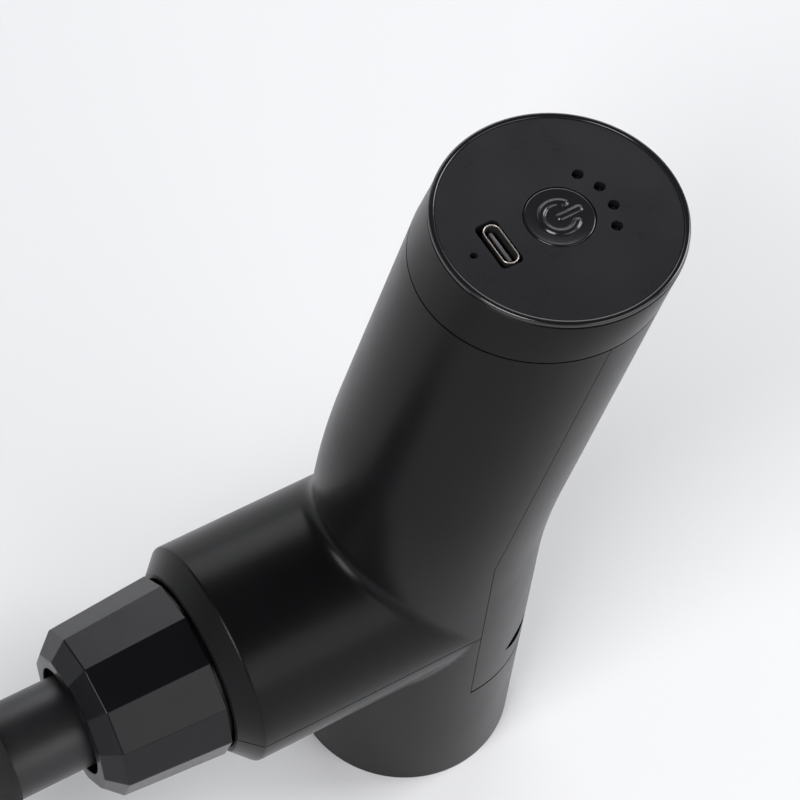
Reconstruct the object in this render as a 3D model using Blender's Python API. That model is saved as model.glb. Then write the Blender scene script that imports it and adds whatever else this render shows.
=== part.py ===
"""Massage gun with a round handle, a side barrel and a pull-off ball head.

The gun stands on the stub under its barrel. The origin is the middle of the
stub's flat foot, +Z runs up the motor shaft, the barrel points along -X, and
the handle leans towards +X. The plane y = 0 is the plane of symmetry.

Sizes are in millimetres and become metres through MM.
"""

import math

import bmesh
import bpy
from mathutils import Matrix, Vector

MM = 0.001

# Driving dimensions.
BODY_RADIUS = 22.9           # stub and handle are one bent round body
BARREL_RADIUS = 22.7
WALL = 2.2
GAP = 0.3                    # clearance kept between neighbouring pieces
TILT = math.radians(14.75)   # lean of the handle from vertical
BEND_HEIGHT = 83.8           # where the stub's axis meets the handle's axis
BEND_REACH = 15.0            # length of the soft bend on each side of that point
BARREL_HEIGHT = 56.9         # barrel axis above the foot
BARREL_SHOULDER = 48.5       # distance from the stub axis to the nose chamfer
BARREL_END = 52.3
BARREL_END_RADIUS = 18.8
NOSE_OPENING = 18.0
CAP_SEAM = 146.6
CAP_TOP = 156.0
COVER_BOTTOM = 33.5          # lower edge of the rear cover

# Crank drive.
CRANK_THROW = 4.0            # half of the 8 mm stroke
ROD_LENGTH = 33.0
WRIST_X = -(CRANK_THROW + ROD_LENGTH)
STROKE = 2 * CRANK_THROW

# Round parts are faceted finely enough to keep their clearances.
FINE = 48
MEDIUM = 32
COARSE = 20

HANDLE_DIRECTION = Vector((math.sin(TILT), 0.0, math.cos(TILT)))
HANDLE_ACROSS = Vector((math.cos(TILT), 0.0, -math.sin(TILT)))
BEND_POINT = Vector((0.0, 0.0, BEND_HEIGHT))
CAP_CENTRE_X = (CAP_TOP - BEND_HEIGHT) * math.tan(TILT) + 0.35   # just behind the handle's axis
ALONG_BARREL = (0.0, -math.pi / 2, 0.0)   # turns local +Z to world -X
ALONG_HANDLE = (0.0, TILT, 0.0)


# ---------------------------------------------------------------- scene and finishes

def clear_scene():
    for old in list(bpy.data.objects):
        bpy.data.objects.remove(old)


def finish_of(name, colour, roughness, metallic):
    material = bpy.data.materials.new(name)
    material.use_nodes = True
    shader = material.node_tree.nodes["Principled BSDF"]
    shader.inputs["Base Color"].default_value = (*colour, 1.0)
    shader.inputs["Roughness"].default_value = roughness
    shader.inputs["Metallic"].default_value = metallic
    return material


BLACK_PLASTIC = ((0.018, 0.018, 0.020), 0.42, 0.0)
PLATE_PLASTIC = ((0.030, 0.030, 0.035), 0.38, 0.0)
DARK_RUBBER = ((0.020, 0.020, 0.020), 0.75, 0.0)
STEEL = ((0.55, 0.55, 0.56), 0.30, 1.0)
BRIGHT_STEEL = ((0.75, 0.72, 0.72), 0.18, 1.0)
ALUMINIUM = ((0.70, 0.71, 0.72), 0.35, 1.0)
BRONZE = ((0.60, 0.45, 0.22), 0.35, 1.0)
COPPER = ((0.62, 0.28, 0.12), 0.35, 1.0)
CELL_BLUE = ((0.05, 0.18, 0.42), 0.40, 0.0)
WHITE_PLASTIC = ((0.75, 0.75, 0.72), 0.45, 0.0)
BOARD_GREEN = ((0.02, 0.16, 0.07), 0.45, 0.0)
SMOKED_LENS = ((0.30, 0.30, 0.32), 0.15, 0.0)
MAGNET = ((0.22, 0.22, 0.24), 0.40, 1.0)


# ---------------------------------------------------------------- building blocks

def add_object(name, bm, finish, at=(0, 0, 0), turn=(0, 0, 0)):
    """Make a named object of a finished bmesh, placed by location and rotation."""
    bmesh.ops.recalc_face_normals(bm, faces=bm.faces)
    mesh = bpy.data.meshes.new(name)
    bm.to_mesh(mesh)
    bm.free()
    mesh.shade_smooth()
    mesh.set_sharp_from_angle(angle=math.radians(30))
    piece = bpy.data.objects.new(name, mesh)
    bpy.context.scene.collection.objects.link(piece)
    piece.location = Vector(at) * MM
    piece.rotation_euler = turn
    if finish is not None:
        mesh.materials.append(finish_of(name, *finish))
    return piece


def turned(outline, steps):
    """Spin an outline of (radius, height) points once round local Z."""
    bm = bmesh.new()
    points = [bm.verts.new((radius * MM, 0, height * MM)) for radius, height in outline]
    edges = []
    for last, this in zip([points[-1]] + points, points):
        if last.co.x > 0 or this.co.x > 0:
            edges.append(bm.edges.new((last, this)))
    bmesh.ops.spin(bm, geom=points + edges, cent=(0, 0, 0), axis=(0, 0, 1),
                   angle=2 * math.pi, steps=steps, use_merge=True)
    bmesh.ops.remove_doubles(bm, verts=bm.verts, dist=0.001 * MM)
    return bm


def prism(outline, low, high):
    """Extrude a flat outline of (x, y) points from one height to another."""
    bm = bmesh.new()
    face = bm.faces.new([bm.verts.new((x * MM, y * MM, low * MM)) for x, y in outline])
    grown = bmesh.ops.extrude_face_region(bm, geom=[face])
    moved = [item for item in grown["geom"] if isinstance(item, bmesh.types.BMVert)]
    bmesh.ops.translate(bm, verts=moved, vec=(0, 0, (high - low) * MM))
    return bm


def side_prism(outline):
    """A block whose outline is given in the (x, z) plane, wide enough to cut the body."""
    half_width = 40.0
    bm = prism([(x, -z) for x, z in outline], -half_width, half_width)
    bmesh.ops.rotate(bm, verts=bm.verts, cent=(0, 0, 0),
                     matrix=Matrix.Rotation(-math.pi / 2, 3, "X"))
    return bm


def loft(rings):
    """Skin a list of equal rings of points and close both ends."""
    bm = bmesh.new()
    loops = [[bm.verts.new(point * MM) for point in ring] for ring in rings]
    for lower, upper in zip(loops, loops[1:]):
        for index in range(len(lower)):
            bm.faces.new((lower[index - 1], lower[index], upper[index], upper[index - 1]))
    bm.faces.new(loops[0])
    bm.faces.new(loops[-1])
    return bm


def cylinder(radius, low, high, steps):
    return turned([(0, low), (radius, low), (radius, high), (0, high)], steps)


def ring(inner, outer, low, high, steps):
    return turned([(inner, low), (outer, low), (outer, high), (inner, high)], steps)


def circle_points(radius, steps, centre=(0.0, 0.0), start=0.0, sweep=2 * math.pi):
    """Points round a circle; an arc includes both of its ends."""
    whole = abs(sweep) > 2 * math.pi - 1e-6
    count = steps if whole else steps + 1
    return [(centre[0] + radius * math.cos(start + sweep * n / steps),
             centre[1] + radius * math.sin(start + sweep * n / steps))
            for n in range(count)]


def stadium_points(length, width, centre, steps):
    """A slot outline that runs along Y, with round ends."""
    radius = width / 2
    reach = length / 2 - radius
    far_end = circle_points(radius, steps, (centre[0], centre[1] + reach), 0, math.pi)
    near_end = circle_points(radius, steps, (centre[0], centre[1] - reach), math.pi, math.pi)
    return far_end + near_end


def combine(piece, operation, bm, at=(0, 0, 0), turn=(0, 0, 0)):
    """Add a Boolean with a hidden tool to a piece."""
    count = len(piece.modifiers) + 1
    tool = add_object(f"{piece.name}_tool_{count}", bm, None, at, turn)
    tool.hide_render = True
    tool.display_type = "WIRE"
    modifier = piece.modifiers.new(f"{operation.lower()}_{count}", "BOOLEAN")
    modifier.operation = operation
    modifier.object = tool
    modifier.solver = "EXACT"
    return tool


def weld_cuts():
    """Merge the hairline doubles that cuts along flat faces leave."""
    for piece in bpy.data.objects:
        if any(modifier.type == "BOOLEAN" for modifier in piece.modifiers):
            weld = piece.modifiers.new("weld", "WELD")
            weld.merge_threshold = 0.01 * MM


def hang(empty, *pieces):
    """Parent pieces to a joint's empty and keep them where they are."""
    for piece in pieces:
        piece.parent = empty
        piece.location = piece.location - empty.location


def joint_empty(name, at):
    empty = bpy.data.objects.new(name, None)
    empty.empty_display_size = 10 * MM
    empty.location = Vector(at) * MM
    bpy.context.scene.collection.objects.link(empty)
    return empty


# ---------------------------------------------------------------- housing

def body_rings(radius, foot, top, steps):
    """Rings up the stub, round the soft bend and along the handle to a level top."""
    angles = [2 * math.pi * n / steps for n in range(steps)]
    bend_radius = BEND_REACH / math.tan(TILT / 2)
    bend_centre = Vector((bend_radius, 0.0, BEND_HEIGHT - BEND_REACH))
    rings = [[Vector((radius * math.cos(a), radius * math.sin(a), foot)) for a in angles]]
    bend_steps = 6
    for step in range(bend_steps + 1):
        lean = TILT * step / bend_steps
        out = Vector((math.cos(lean), 0.0, -math.sin(lean)))
        centre = bend_centre - out * bend_radius
        rings.append([centre + out * radius * math.cos(a)
                      + Vector((0.0, radius * math.sin(a), 0.0)) for a in angles])
    rings.append(level_ring(radius, top, angles))
    return rings


def level_ring(radius, height, angles):
    """Where the handle's cylinder meets a level plane."""
    points = []
    for angle in angles:
        edge = (BEND_POINT + HANDLE_ACROSS * radius * math.cos(angle)
                + Vector((0.0, radius * math.sin(angle), 0.0)))
        points.append(edge + HANDLE_DIRECTION * (height - edge.z) / math.cos(TILT))
    return points


def slanted_drum(radius, low, high, steps):
    """A slice of the handle's cylinder between two level planes."""
    angles = [2 * math.pi * n / steps for n in range(steps)]
    return loft([level_ring(radius, low, angles), level_ring(radius, high, angles)])


def handle_axis_x(height):
    return (height - BEND_HEIGHT) * math.tan(TILT)


def add_shell(name, region):
    """One shell of the housing: the hollow body inside a region of its side view."""
    foot_edge = 0.3
    floor = 4.3
    above = CAP_TOP + 10
    inner_radius = BODY_RADIUS - WALL
    barrel = [(0, 0), (BARREL_RADIUS, 0), (BARREL_RADIUS, BARREL_SHOULDER),
              (BARREL_END_RADIUS, BARREL_END), (0, BARREL_END)]
    cavity = [(0, -1), (BARREL_RADIUS - WALL, -1), (BARREL_RADIUS - WALL, BARREL_SHOULDER - 0.4),
              (NOSE_OPENING, BARREL_SHOULDER - 0.4), (NOSE_OPENING, BARREL_END + 5),
              (0, BARREL_END + 5)]
    at = (0, 0, BARREL_HEIGHT)
    shell = add_object(name, loft(body_rings(BODY_RADIUS, foot_edge, above, FINE)), BLACK_PLASTIC)
    combine(shell, "UNION", turned(barrel, FINE), at, ALONG_BARREL)
    combine(shell, "INTERSECT", side_prism(region))
    combine(shell, "DIFFERENCE", loft(body_rings(inner_radius, floor, above + 5, MEDIUM)))
    combine(shell, "DIFFERENCE", turned(cavity, FINE), at, ALONG_BARREL)
    return shell


def add_housing():
    half_gap = GAP / 2
    far = 80.0
    seam_top = CAP_SEAM - half_gap
    upper = add_shell("upper_housing", [
        (-far, BARREL_HEIGHT + half_gap), (-half_gap, BARREL_HEIGHT + half_gap),
        (-half_gap, BEND_HEIGHT), (handle_axis_x(seam_top) - half_gap, seam_top),
        (-far, seam_top)])
    rear = add_shell("rear_cover", [
        (half_gap, COVER_BOTTOM + half_gap), (far, COVER_BOTTOM + half_gap), (far, seam_top),
        (handle_axis_x(seam_top) + half_gap, seam_top), (half_gap, BEND_HEIGHT)])
    base = add_shell("base_shell", [
        (-far, -10), (far, -10), (far, COVER_BOTTOM - half_gap),
        (-half_gap, COVER_BOTTOM - half_gap), (-half_gap, BARREL_HEIGHT - half_gap),
        (-far, BARREL_HEIGHT - half_gap)])
    cut_vents(rear)
    return upper, rear, base


def cut_vents(rear):
    """Two pointed air slots low on the rear cover, one to each side."""
    slot_height = 42.0
    half_length = 4.8
    half_width = 1.8
    side_angle = math.radians(56)
    bulge = (half_length ** 2 + half_width ** 2) / (2 * half_width)
    sweep = 2 * math.asin(half_length / bulge)
    upper_arc = circle_points(bulge, 8, (0, half_width - bulge), math.pi / 2 - sweep / 2, sweep)
    lower_arc = [(x, -y) for x, y in reversed(upper_arc[1:-1])]
    for side in (-1, 1):
        bm = prism([(y, x) for x, y in upper_arc + lower_arc], 15, 40)
        combine(rear, "DIFFERENCE", bm, (0, 0, slot_height), (0, math.pi / 2, side * side_angle))


def add_foot(base):
    """Rubber foot pad, its recess, and the screws that it hides."""
    pad_radius = 19.0
    recess_top = 1.6
    add_object("foot_pad", turned([(0, 0), (pad_radius - 0.6, 0), (pad_radius, 0.6),
                                   (pad_radius, recess_top - GAP), (0, recess_top - GAP)],
                                  MEDIUM), DARK_RUBBER)
    combine(base, "DIFFERENCE", cylinder(pad_radius + GAP, -5, recess_top, MEDIUM))
    for number, (x, y) in enumerate(base_screw_places(), 1):
        screw = [(0, 1.9), (2.4, 1.9), (2.4, 3.1), (1.2, 3.1), (1.2, 6.9), (0, 6.9)]
        hole = [(0, 0), (2.75, 0), (2.75, 3.4), (1.5, 3.4), (1.5, 9), (0, 9)]
        add_object(f"base_screw_{number}", turned(screw, 12), STEEL, (x, y, 0))
        combine(base, "DIFFERENCE", turned(hole, 12), (x, y, 0))


def base_screw_places():
    return circle_points(12.5, 3, start=math.pi / 2)


# ---------------------------------------------------------------- handle end

BUTTON_RADIUS = 6.35
BUTTON_HOLE = 6.65
PLATE_RADIUS = 21.2
PLATE_TOP = 155.7
PLATE_BOTTOM = 153.5
USB_X = CAP_CENTRE_X - 12.0
BOARD_TOP = 149.7
BOARD_BOTTOM = 148.1
LAMP_CIRCLE = 10.0


def lamp_places():
    """Four battery lamps on an arc round the button, on the side away from the barrel."""
    spread = math.radians(78)
    return circle_points(LAMP_CIRCLE, 3, (CAP_CENTRE_X, 0), -spread / 2, spread)


def board_screw_places():
    return [(CAP_CENTRE_X + 4, side * 14.0) for side in (-1, 1)]


def add_cap_band():
    seat = PLATE_BOTTOM - GAP
    band = add_object("cap_band", slanted_drum(BODY_RADIUS, CAP_SEAM + GAP / 2, CAP_TOP, FINE),
                      BLACK_PLASTIC)
    combine(band, "DIFFERENCE", slanted_drum(20.2, CAP_SEAM - 5, seat + 0.1, MEDIUM))
    combine(band, "DIFFERENCE", cylinder(PLATE_RADIUS + GAP, seat, CAP_TOP + 5, FINE),
            (CAP_CENTRE_X, 0, 0))


def add_end_plate():
    plate = add_object("end_plate", cylinder(PLATE_RADIUS, PLATE_BOTTOM, PLATE_TOP, FINE),
                       PLATE_PLASTIC, (CAP_CENTRE_X, 0, 0))
    for x, y in board_screw_places():
        combine(plate, "UNION", cylinder(2.2, BOARD_TOP + GAP, PLATE_BOTTOM + 0.5, 12), (x, y, 0))
        combine(plate, "DIFFERENCE", cylinder(1.3, BOARD_TOP - 5, 152.6, 12), (x, y, 0))
    below = PLATE_BOTTOM - 1
    above = PLATE_TOP + 1
    combine(plate, "DIFFERENCE", cylinder(BUTTON_HOLE, below, above, MEDIUM), (CAP_CENTRE_X, 0, 0))
    for x, y in lamp_places():
        combine(plate, "DIFFERENCE", cylinder(1.1, below, above, 12), (x, y, 0))
    combine(plate, "DIFFERENCE", prism(stadium_points(10.0, 4.5, (USB_X - 0.4, 0), 6), below, above))
    combine(plate, "DIFFERENCE", cylinder(0.7, below, above, 10), (CAP_CENTRE_X - 17.5, 0, 0))


def add_button():
    outline = [(0, 152.9), (BUTTON_RADIUS, 152.9), (BUTTON_RADIUS, 155.4), (5.9, 155.9), (0, 155.7)]
    return add_object("power_button", turned([(r, z - PLATE_TOP) for r, z in outline], MEDIUM),
                      BLACK_PLASTIC, (CAP_CENTRE_X, 0, PLATE_TOP))


def add_board():
    board = add_object("circuit_board", cylinder(18.5, BOARD_BOTTOM, BOARD_TOP, MEDIUM),
                       BOARD_GREEN, (17.8, 0, 0))
    for number, (x, y) in enumerate(board_screw_places(), 1):
        screw = [(0, 146.7), (2.1, 146.7), (2.1, 147.8), (1.0, 147.8), (1.0, 152.2), (0, 152.2)]
        combine(board, "DIFFERENCE", cylinder(1.3, BOARD_BOTTOM - 1, BOARD_TOP + 1, 12), (x, y, 0))
        add_object(f"board_screw_{number}", turned(screw, 12), STEEL, (x, y, 0))
    base = BOARD_TOP + 0.2
    switch = add_object("tact_switch", prism([(-3, -3), (3, -3), (3, 3), (-3, 3)], base, base + 1.9),
                        BLACK_PLASTIC, (CAP_CENTRE_X, 0, 0))
    combine(switch, "UNION", cylinder(1.7, base + 1, base + 2.3, 12), (CAP_CENTRE_X, 0, 0))
    for number, (x, y) in enumerate(lamp_places(), 1):
        chip = prism([(-0.8, -0.5), (0.8, -0.5), (0.8, 0.5), (-0.8, 0.5)], base, base + 0.5)
        add_object(f"led_chip_{number}", chip, WHITE_PLASTIC, (x, y, 0))
        add_object(f"led_lens_{number}", cylinder(0.85, base + 0.8, PLATE_TOP - 1.2, 12),
                   SMOKED_LENS, (x, y, 0))


def add_usb_port():
    base = BOARD_TOP + 0.2
    mouth = PLATE_TOP - 0.2
    shell = add_object("usb_shell", prism(stadium_points(8.94, 3.26, (USB_X, 0), 8), base, mouth),
                       BRIGHT_STEEL)
    combine(shell, "DIFFERENCE",
            prism(stadium_points(8.34, 2.66, (USB_X, 0), 8), base + 0.8, mouth + 1))
    half_x = 0.35
    half_y = 3.35
    corners = [(USB_X - half_x, -half_y), (USB_X + half_x, -half_y),
               (USB_X + half_x, half_y), (USB_X - half_x, half_y)]
    add_object("usb_tongue", prism(corners, base + 1.1, mouth - 0.9), BLACK_PLASTIC)


def add_handle_end():
    add_cap_band()
    add_end_plate()
    add_board()
    add_usb_port()
    return add_button()


# ---------------------------------------------------------------- battery

CELL_RADIUS = 9.1
CELL_LENGTH = 65.0
CELL_START = -6.5            # along the handle axis from the bend point
CELL_SIDE = CELL_RADIUS + 0.2


def add_battery():
    """Two standard round cells side by side between two cradles."""
    cell = [(0, 0), (8.5, 0), (CELL_RADIUS, 0.6), (CELL_RADIUS, 63.4), (8.5, 64.0), (3.2, 64.0),
            (3.2, CELL_LENGTH), (0, CELL_LENGTH)]
    for number, side in enumerate((-CELL_SIDE, CELL_SIDE), 1):
        place = BEND_POINT + HANDLE_DIRECTION * CELL_START + Vector((0, side, 0))
        add_object(f"battery_cell_{number}", turned(cell, COARSE), CELL_BLUE, place, ALONG_HANDLE)
    thickness = 2.4
    width = 2 * CELL_RADIUS + 1.4
    outline = stadium_points(width + 2 * CELL_SIDE, width, (0, 0), 10)
    stations = {"battery_cradle_lower": CELL_START - GAP - thickness,
                "battery_cradle_upper": CELL_START + CELL_LENGTH + GAP}
    for name, station in stations.items():
        add_object(name, prism(outline, 0, thickness), WHITE_PLASTIC,
                   BEND_POINT + HANDLE_DIRECTION * station, ALONG_HANDLE)


# ---------------------------------------------------------------- motor

SHAFT_RADIUS = 2.0
TUBE_BORE = 4.85
CORE_LOW = 12.0
CORE_HIGH = 30.0
TOOTH_COUNT = 9
TOOTH_HALF_WIDTH = 1.4


def stator_outline():
    """Hub circle with nine T-shaped teeth."""
    hub = 7.4
    neck = 11.9
    tip = 12.7
    tip_spread = math.radians(15)
    points = []
    for tooth in range(TOOTH_COUNT):
        angle = 2 * math.pi * tooth / TOOTH_COUNT
        for radius, swing in ((hub, -math.asin(TOOTH_HALF_WIDTH / hub)),
                              (neck, -math.asin(TOOTH_HALF_WIDTH / neck)),
                              (neck, -tip_spread), (tip, -tip_spread), (tip, 0.0),
                              (tip, tip_spread), (neck, tip_spread),
                              (neck, math.asin(TOOTH_HALF_WIDTH / neck)),
                              (hub, math.asin(TOOTH_HALF_WIDTH / hub))):
            points.append((radius * math.cos(angle + swing), radius * math.sin(angle + swing)))
    return points


def add_winding():
    winding = add_object("stator_winding", ring(7.7, 11.6, 10.4, 31.6, 36), COPPER)
    half = TOOTH_HALF_WIDTH + 0.35
    for tooth in range(TOOTH_COUNT):
        tunnel = prism([(5, -half), (14, -half), (14, half), (5, half)],
                       CORE_LOW - GAP, CORE_HIGH + GAP)
        combine(winding, "DIFFERENCE", tunnel, (0, 0, 0), (0, 0, 2 * math.pi * tooth / TOOTH_COUNT))


def add_motor_fixed():
    tube_top = 33.0
    mount = [(0, 4.6), (18.5, 4.6), (18.5, 7.2), (6.0, 7.2), (6.0, tube_top),
             (TUBE_BORE, tube_top), (TUBE_BORE, 7.4), (0, 7.4)]
    plate = add_object("motor_mount", turned(mount, MEDIUM), ALUMINIUM)
    for x, y in base_screw_places():
        combine(plate, "DIFFERENCE", cylinder(1.5, 0, 9, 12), (x, y, 0))
    core = add_object("stator_core", prism(stator_outline(), CORE_LOW, CORE_HIGH), STEEL)
    combine(core, "DIFFERENCE", cylinder(6.25, CORE_LOW - 1, CORE_HIGH + 1, MEDIUM))
    add_winding()
    for name, low in (("motor_bearing_lower", 8.2), ("motor_bearing_upper", 28.6)):
        add_object(name, ring(SHAFT_RADIUS + 0.2, TUBE_BORE - 0.25, low, low + 4, COARSE), STEEL)


CRANK_LOW = 42.0
CRANK_HIGH = 52.0
PIN_RADIUS = 2.5
ROD_HALF_HEIGHT = 2.5


def add_crank_assembly():
    """Everything that spins with the motor shaft."""
    can = [(14.95, 9.5), (16.3, 9.5), (16.3, 36.5), (5.0, 36.5), (5.0, 39.0),
           (SHAFT_RADIUS + 0.25, 39.0), (SHAFT_RADIUS + 0.25, 34.0), (14.95, 34.0)]
    pieces = [
        add_object("rotor_can", turned(can, 36), STEEL),
        add_object("magnet_ring", ring(13.1, 14.7, CORE_LOW, CORE_HIGH, 36), MAGNET),
        add_object("motor_shaft", cylinder(SHAFT_RADIUS, 7.9, 46.5, COARSE), STEEL),
        add_crank_disc(),
        add_object("crank_pin", turned([(0, 47.7), (PIN_RADIUS, 47.7), (PIN_RADIUS, CRANK_HIGH + GAP),
                                        (3.6, CRANK_HIGH + GAP), (3.6, 54.0), (PIN_RADIUS, 54.0),
                                        (PIN_RADIUS, 61.0), (0, 61.0)], COARSE),
                   BRIGHT_STEEL, (-CRANK_THROW, 0, 0)),
    ]
    hang(joint_empty("crank_axis", (0, 0, BARREL_HEIGHT)), *pieces)


def add_crank_disc():
    """Hub under the crank pin, with a counterweight on the far side."""
    reach = math.radians(75)
    hub_radius = 9.5
    weight_radius = 16.0
    weight = circle_points(weight_radius, 14, start=-reach, sweep=2 * reach)
    hub = circle_points(hub_radius, 16, start=reach, sweep=2 * (math.pi - reach))
    disc = add_object("crank_disc", prism(weight + hub, CRANK_LOW, CRANK_HIGH), STEEL)
    combine(disc, "DIFFERENCE", cylinder(SHAFT_RADIUS + 0.25, CRANK_LOW - 1, 46.8, COARSE))
    combine(disc, "DIFFERENCE", cylinder(PIN_RADIUS + 0.25, 47.4, CRANK_HIGH + 1, COARSE),
            (-CRANK_THROW, 0, 0))
    return disc


# ---------------------------------------------------------------- rod, piston and head

def add_rod_assembly():
    """Connecting rod, its big-end bearing, and the wrist pin that it carries."""
    big_radius = 8.9
    small_radius = 3.8
    neck_half = 2.8
    big_start = math.pi - math.asin(neck_half / big_radius)
    small_start = math.asin(neck_half / small_radius)
    big_end = circle_points(big_radius, 22, start=-big_start, sweep=2 * big_start)
    small_end = circle_points(small_radius, 12, (-ROD_LENGTH, 0), small_start,
                              2 * (math.pi - small_start))
    at = (-CRANK_THROW, 0, BARREL_HEIGHT)
    rod = add_object("connecting_rod", prism(big_end + small_end, -ROD_HALF_HEIGHT, ROD_HALF_HEIGHT),
                     ALUMINIUM, at)
    combine(rod, "DIFFERENCE", cylinder(6.6, -5, 5, COARSE), at)
    combine(rod, "DIFFERENCE", cylinder(2.3, -5, 5, 16), (WRIST_X, 0, BARREL_HEIGHT))
    bearing = add_object("crank_bearing", ring(PIN_RADIUS + 0.25, 6.3, -2.3, 2.3, COARSE), STEEL, at)
    pin = add_object("wrist_pin", cylinder(2.0, -3.9, 3.9, 16), BRIGHT_STEEL,
                     (WRIST_X, 0, BARREL_HEIGHT))
    hang(joint_empty("rod_axis", at), rod, bearing, pin)


PISTON_REAR = 26.0           # distances along the barrel from the stub axis
PISTON_FRONT = 67.0
PISTON_RADIUS = 10.6
SOCKET_RADIUS = 9.65
SOCKET_FLOOR = 51.3
COLLAR_REAR = 53.3
COLLAR_FRONT = 78.2
STEM_RADIUS = 9.35
BALL_RADIUS = 22.0
BALL_REAR = 92.7
BALL_CENTRE = BALL_REAR + math.sqrt(BALL_RADIUS ** 2 - STEM_RADIUS ** 2)


def add_piston():
    rod_room = 9.0
    web = 49.3
    outline = [(rod_room, PISTON_REAR), (PISTON_RADIUS, PISTON_REAR), (PISTON_RADIUS, PISTON_FRONT),
               (SOCKET_RADIUS, PISTON_FRONT), (SOCKET_RADIUS, SOCKET_FLOOR), (0, SOCKET_FLOOR),
               (0, web), (rod_room, web)]
    piston = add_object("piston", turned(outline, MEDIUM), ALUMINIUM, (0, 0, BARREL_HEIGHT),
                        ALONG_BARREL)
    hang(joint_empty("piston_axis", (WRIST_X, 0, BARREL_HEIGHT)), piston)


def add_nose():
    """Carrier ring, guide bush and twelve-sided collar."""
    at = (0, 0, BARREL_HEIGHT)
    add_object("nose_carrier", ring(13.5, 20.0, 43.6, 47.7, MEDIUM), BLACK_PLASTIC, at, ALONG_BARREL)
    add_object("guide_bush", ring(10.9, 13.2, 44.0, 72.0, MEDIUM), BRONZE, at, ALONG_BARREL)
    sides = 12
    sections = ((18.9, COLLAR_REAR), (17.3, 74.8), (14.4, COLLAR_FRONT - 0.5), (13.9, COLLAR_FRONT))
    corners = [2 * math.pi * n / sides for n in range(sides)]
    collar = add_object("nose_collar", loft([
        [Vector((radius * math.cos(a), radius * math.sin(a), height)) for a in corners]
        for radius, height in sections]), BLACK_PLASTIC, at, ALONG_BARREL)
    combine(collar, "UNION", cylinder(17.5, 48.0, COLLAR_REAR + 1, MEDIUM), at, ALONG_BARREL)
    bore = [(0, 40), (13.5, 40), (13.5, 72.3), (11.1, 72.3), (11.1, 90), (0, 90)]
    combine(collar, "DIFFERENCE", turned(bore, MEDIUM), at, ALONG_BARREL)


def add_head():
    """Pull-off ball head: stem, sealing ring and soft ball."""
    at = (0, 0, BARREL_HEIGHT)
    stem_end = 105.7
    stem = [(0, 51.7), (8.9, 51.7), (STEM_RADIUS, 52.2), (STEM_RADIUS, 58.0), (8.0, 58.0),
            (8.0, 60.0), (STEM_RADIUS, 60.0), (STEM_RADIUS, stem_end), (0, stem_end)]
    seal = circle_points(0.7, 8, (8.8, 59.0))
    socket = STEM_RADIUS + GAP
    mouth = math.asin(socket / BALL_RADIUS)
    sphere = circle_points(BALL_RADIUS, 12, (0, BALL_CENTRE), -math.pi / 2 + mouth, math.pi - mouth)
    ball = sphere[:-1] + [(0, BALL_CENTRE + BALL_RADIUS), (0, stem_end + GAP),
                          (socket, stem_end + GAP)]
    pieces = [
        add_object("head_stem", turned(stem, MEDIUM), BLACK_PLASTIC, at, ALONG_BARREL),
        add_object("stem_seal", turned(seal, MEDIUM), DARK_RUBBER, at, ALONG_BARREL),
        add_object("head_ball", turned(ball, MEDIUM), DARK_RUBBER, at, ALONG_BARREL),
    ]
    hang(joint_empty("head_axis", (-PISTON_FRONT, 0, BARREL_HEIGHT)), *pieces)


def build():
    clear_scene()
    upper, rear, base = add_housing()
    add_foot(base)
    add_handle_end()
    add_battery()
    add_motor_fixed()
    add_crank_assembly()
    add_rod_assembly()
    add_piston()
    add_nose()
    add_head()
    weld_cuts()


build()
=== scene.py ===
# %% [markdown]
# # A cordless massage gun, dressed around its working model
# The moving parts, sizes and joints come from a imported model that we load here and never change.
# Everything below makes the skins, small details and finishes that a person sees.
# All lengths in this file are metres once they carry the factor MM.

# %% Load the working model
import math

import bmesh
import bpy
import numpy as np
from mathutils import Matrix, Vector


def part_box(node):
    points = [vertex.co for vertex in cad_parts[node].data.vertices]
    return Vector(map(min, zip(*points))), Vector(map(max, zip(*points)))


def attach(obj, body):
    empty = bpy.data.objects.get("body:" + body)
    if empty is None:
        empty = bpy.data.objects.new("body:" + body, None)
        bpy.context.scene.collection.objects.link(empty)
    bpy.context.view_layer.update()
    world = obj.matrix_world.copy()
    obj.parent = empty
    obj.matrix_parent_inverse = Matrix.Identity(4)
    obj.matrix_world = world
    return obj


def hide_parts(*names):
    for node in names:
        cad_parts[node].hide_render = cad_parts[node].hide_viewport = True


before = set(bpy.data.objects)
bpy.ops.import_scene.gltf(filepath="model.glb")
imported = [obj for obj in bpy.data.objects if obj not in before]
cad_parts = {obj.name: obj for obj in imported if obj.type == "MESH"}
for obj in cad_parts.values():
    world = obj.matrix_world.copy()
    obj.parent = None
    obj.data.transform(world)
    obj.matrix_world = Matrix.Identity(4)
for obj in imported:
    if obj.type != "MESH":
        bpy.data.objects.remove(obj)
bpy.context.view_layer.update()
MM = 0.001

# %% [markdown]
# ## Places that the rest is measured from
# The model knows where its pieces are, so we read them from its boxes. The handle is a round
# bar that leans back, the stub is the same bar standing up, and the barrel lies along -X.

# %% Read the driving places from the frame


def span(node, axis):
    """The lowest and highest value that a model piece reaches along an axis."""
    low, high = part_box(node)
    return low[axis], high[axis]


def middle(node):
    """The middle of a model piece's box."""
    low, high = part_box(node)
    return (low + high) / 2


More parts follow.
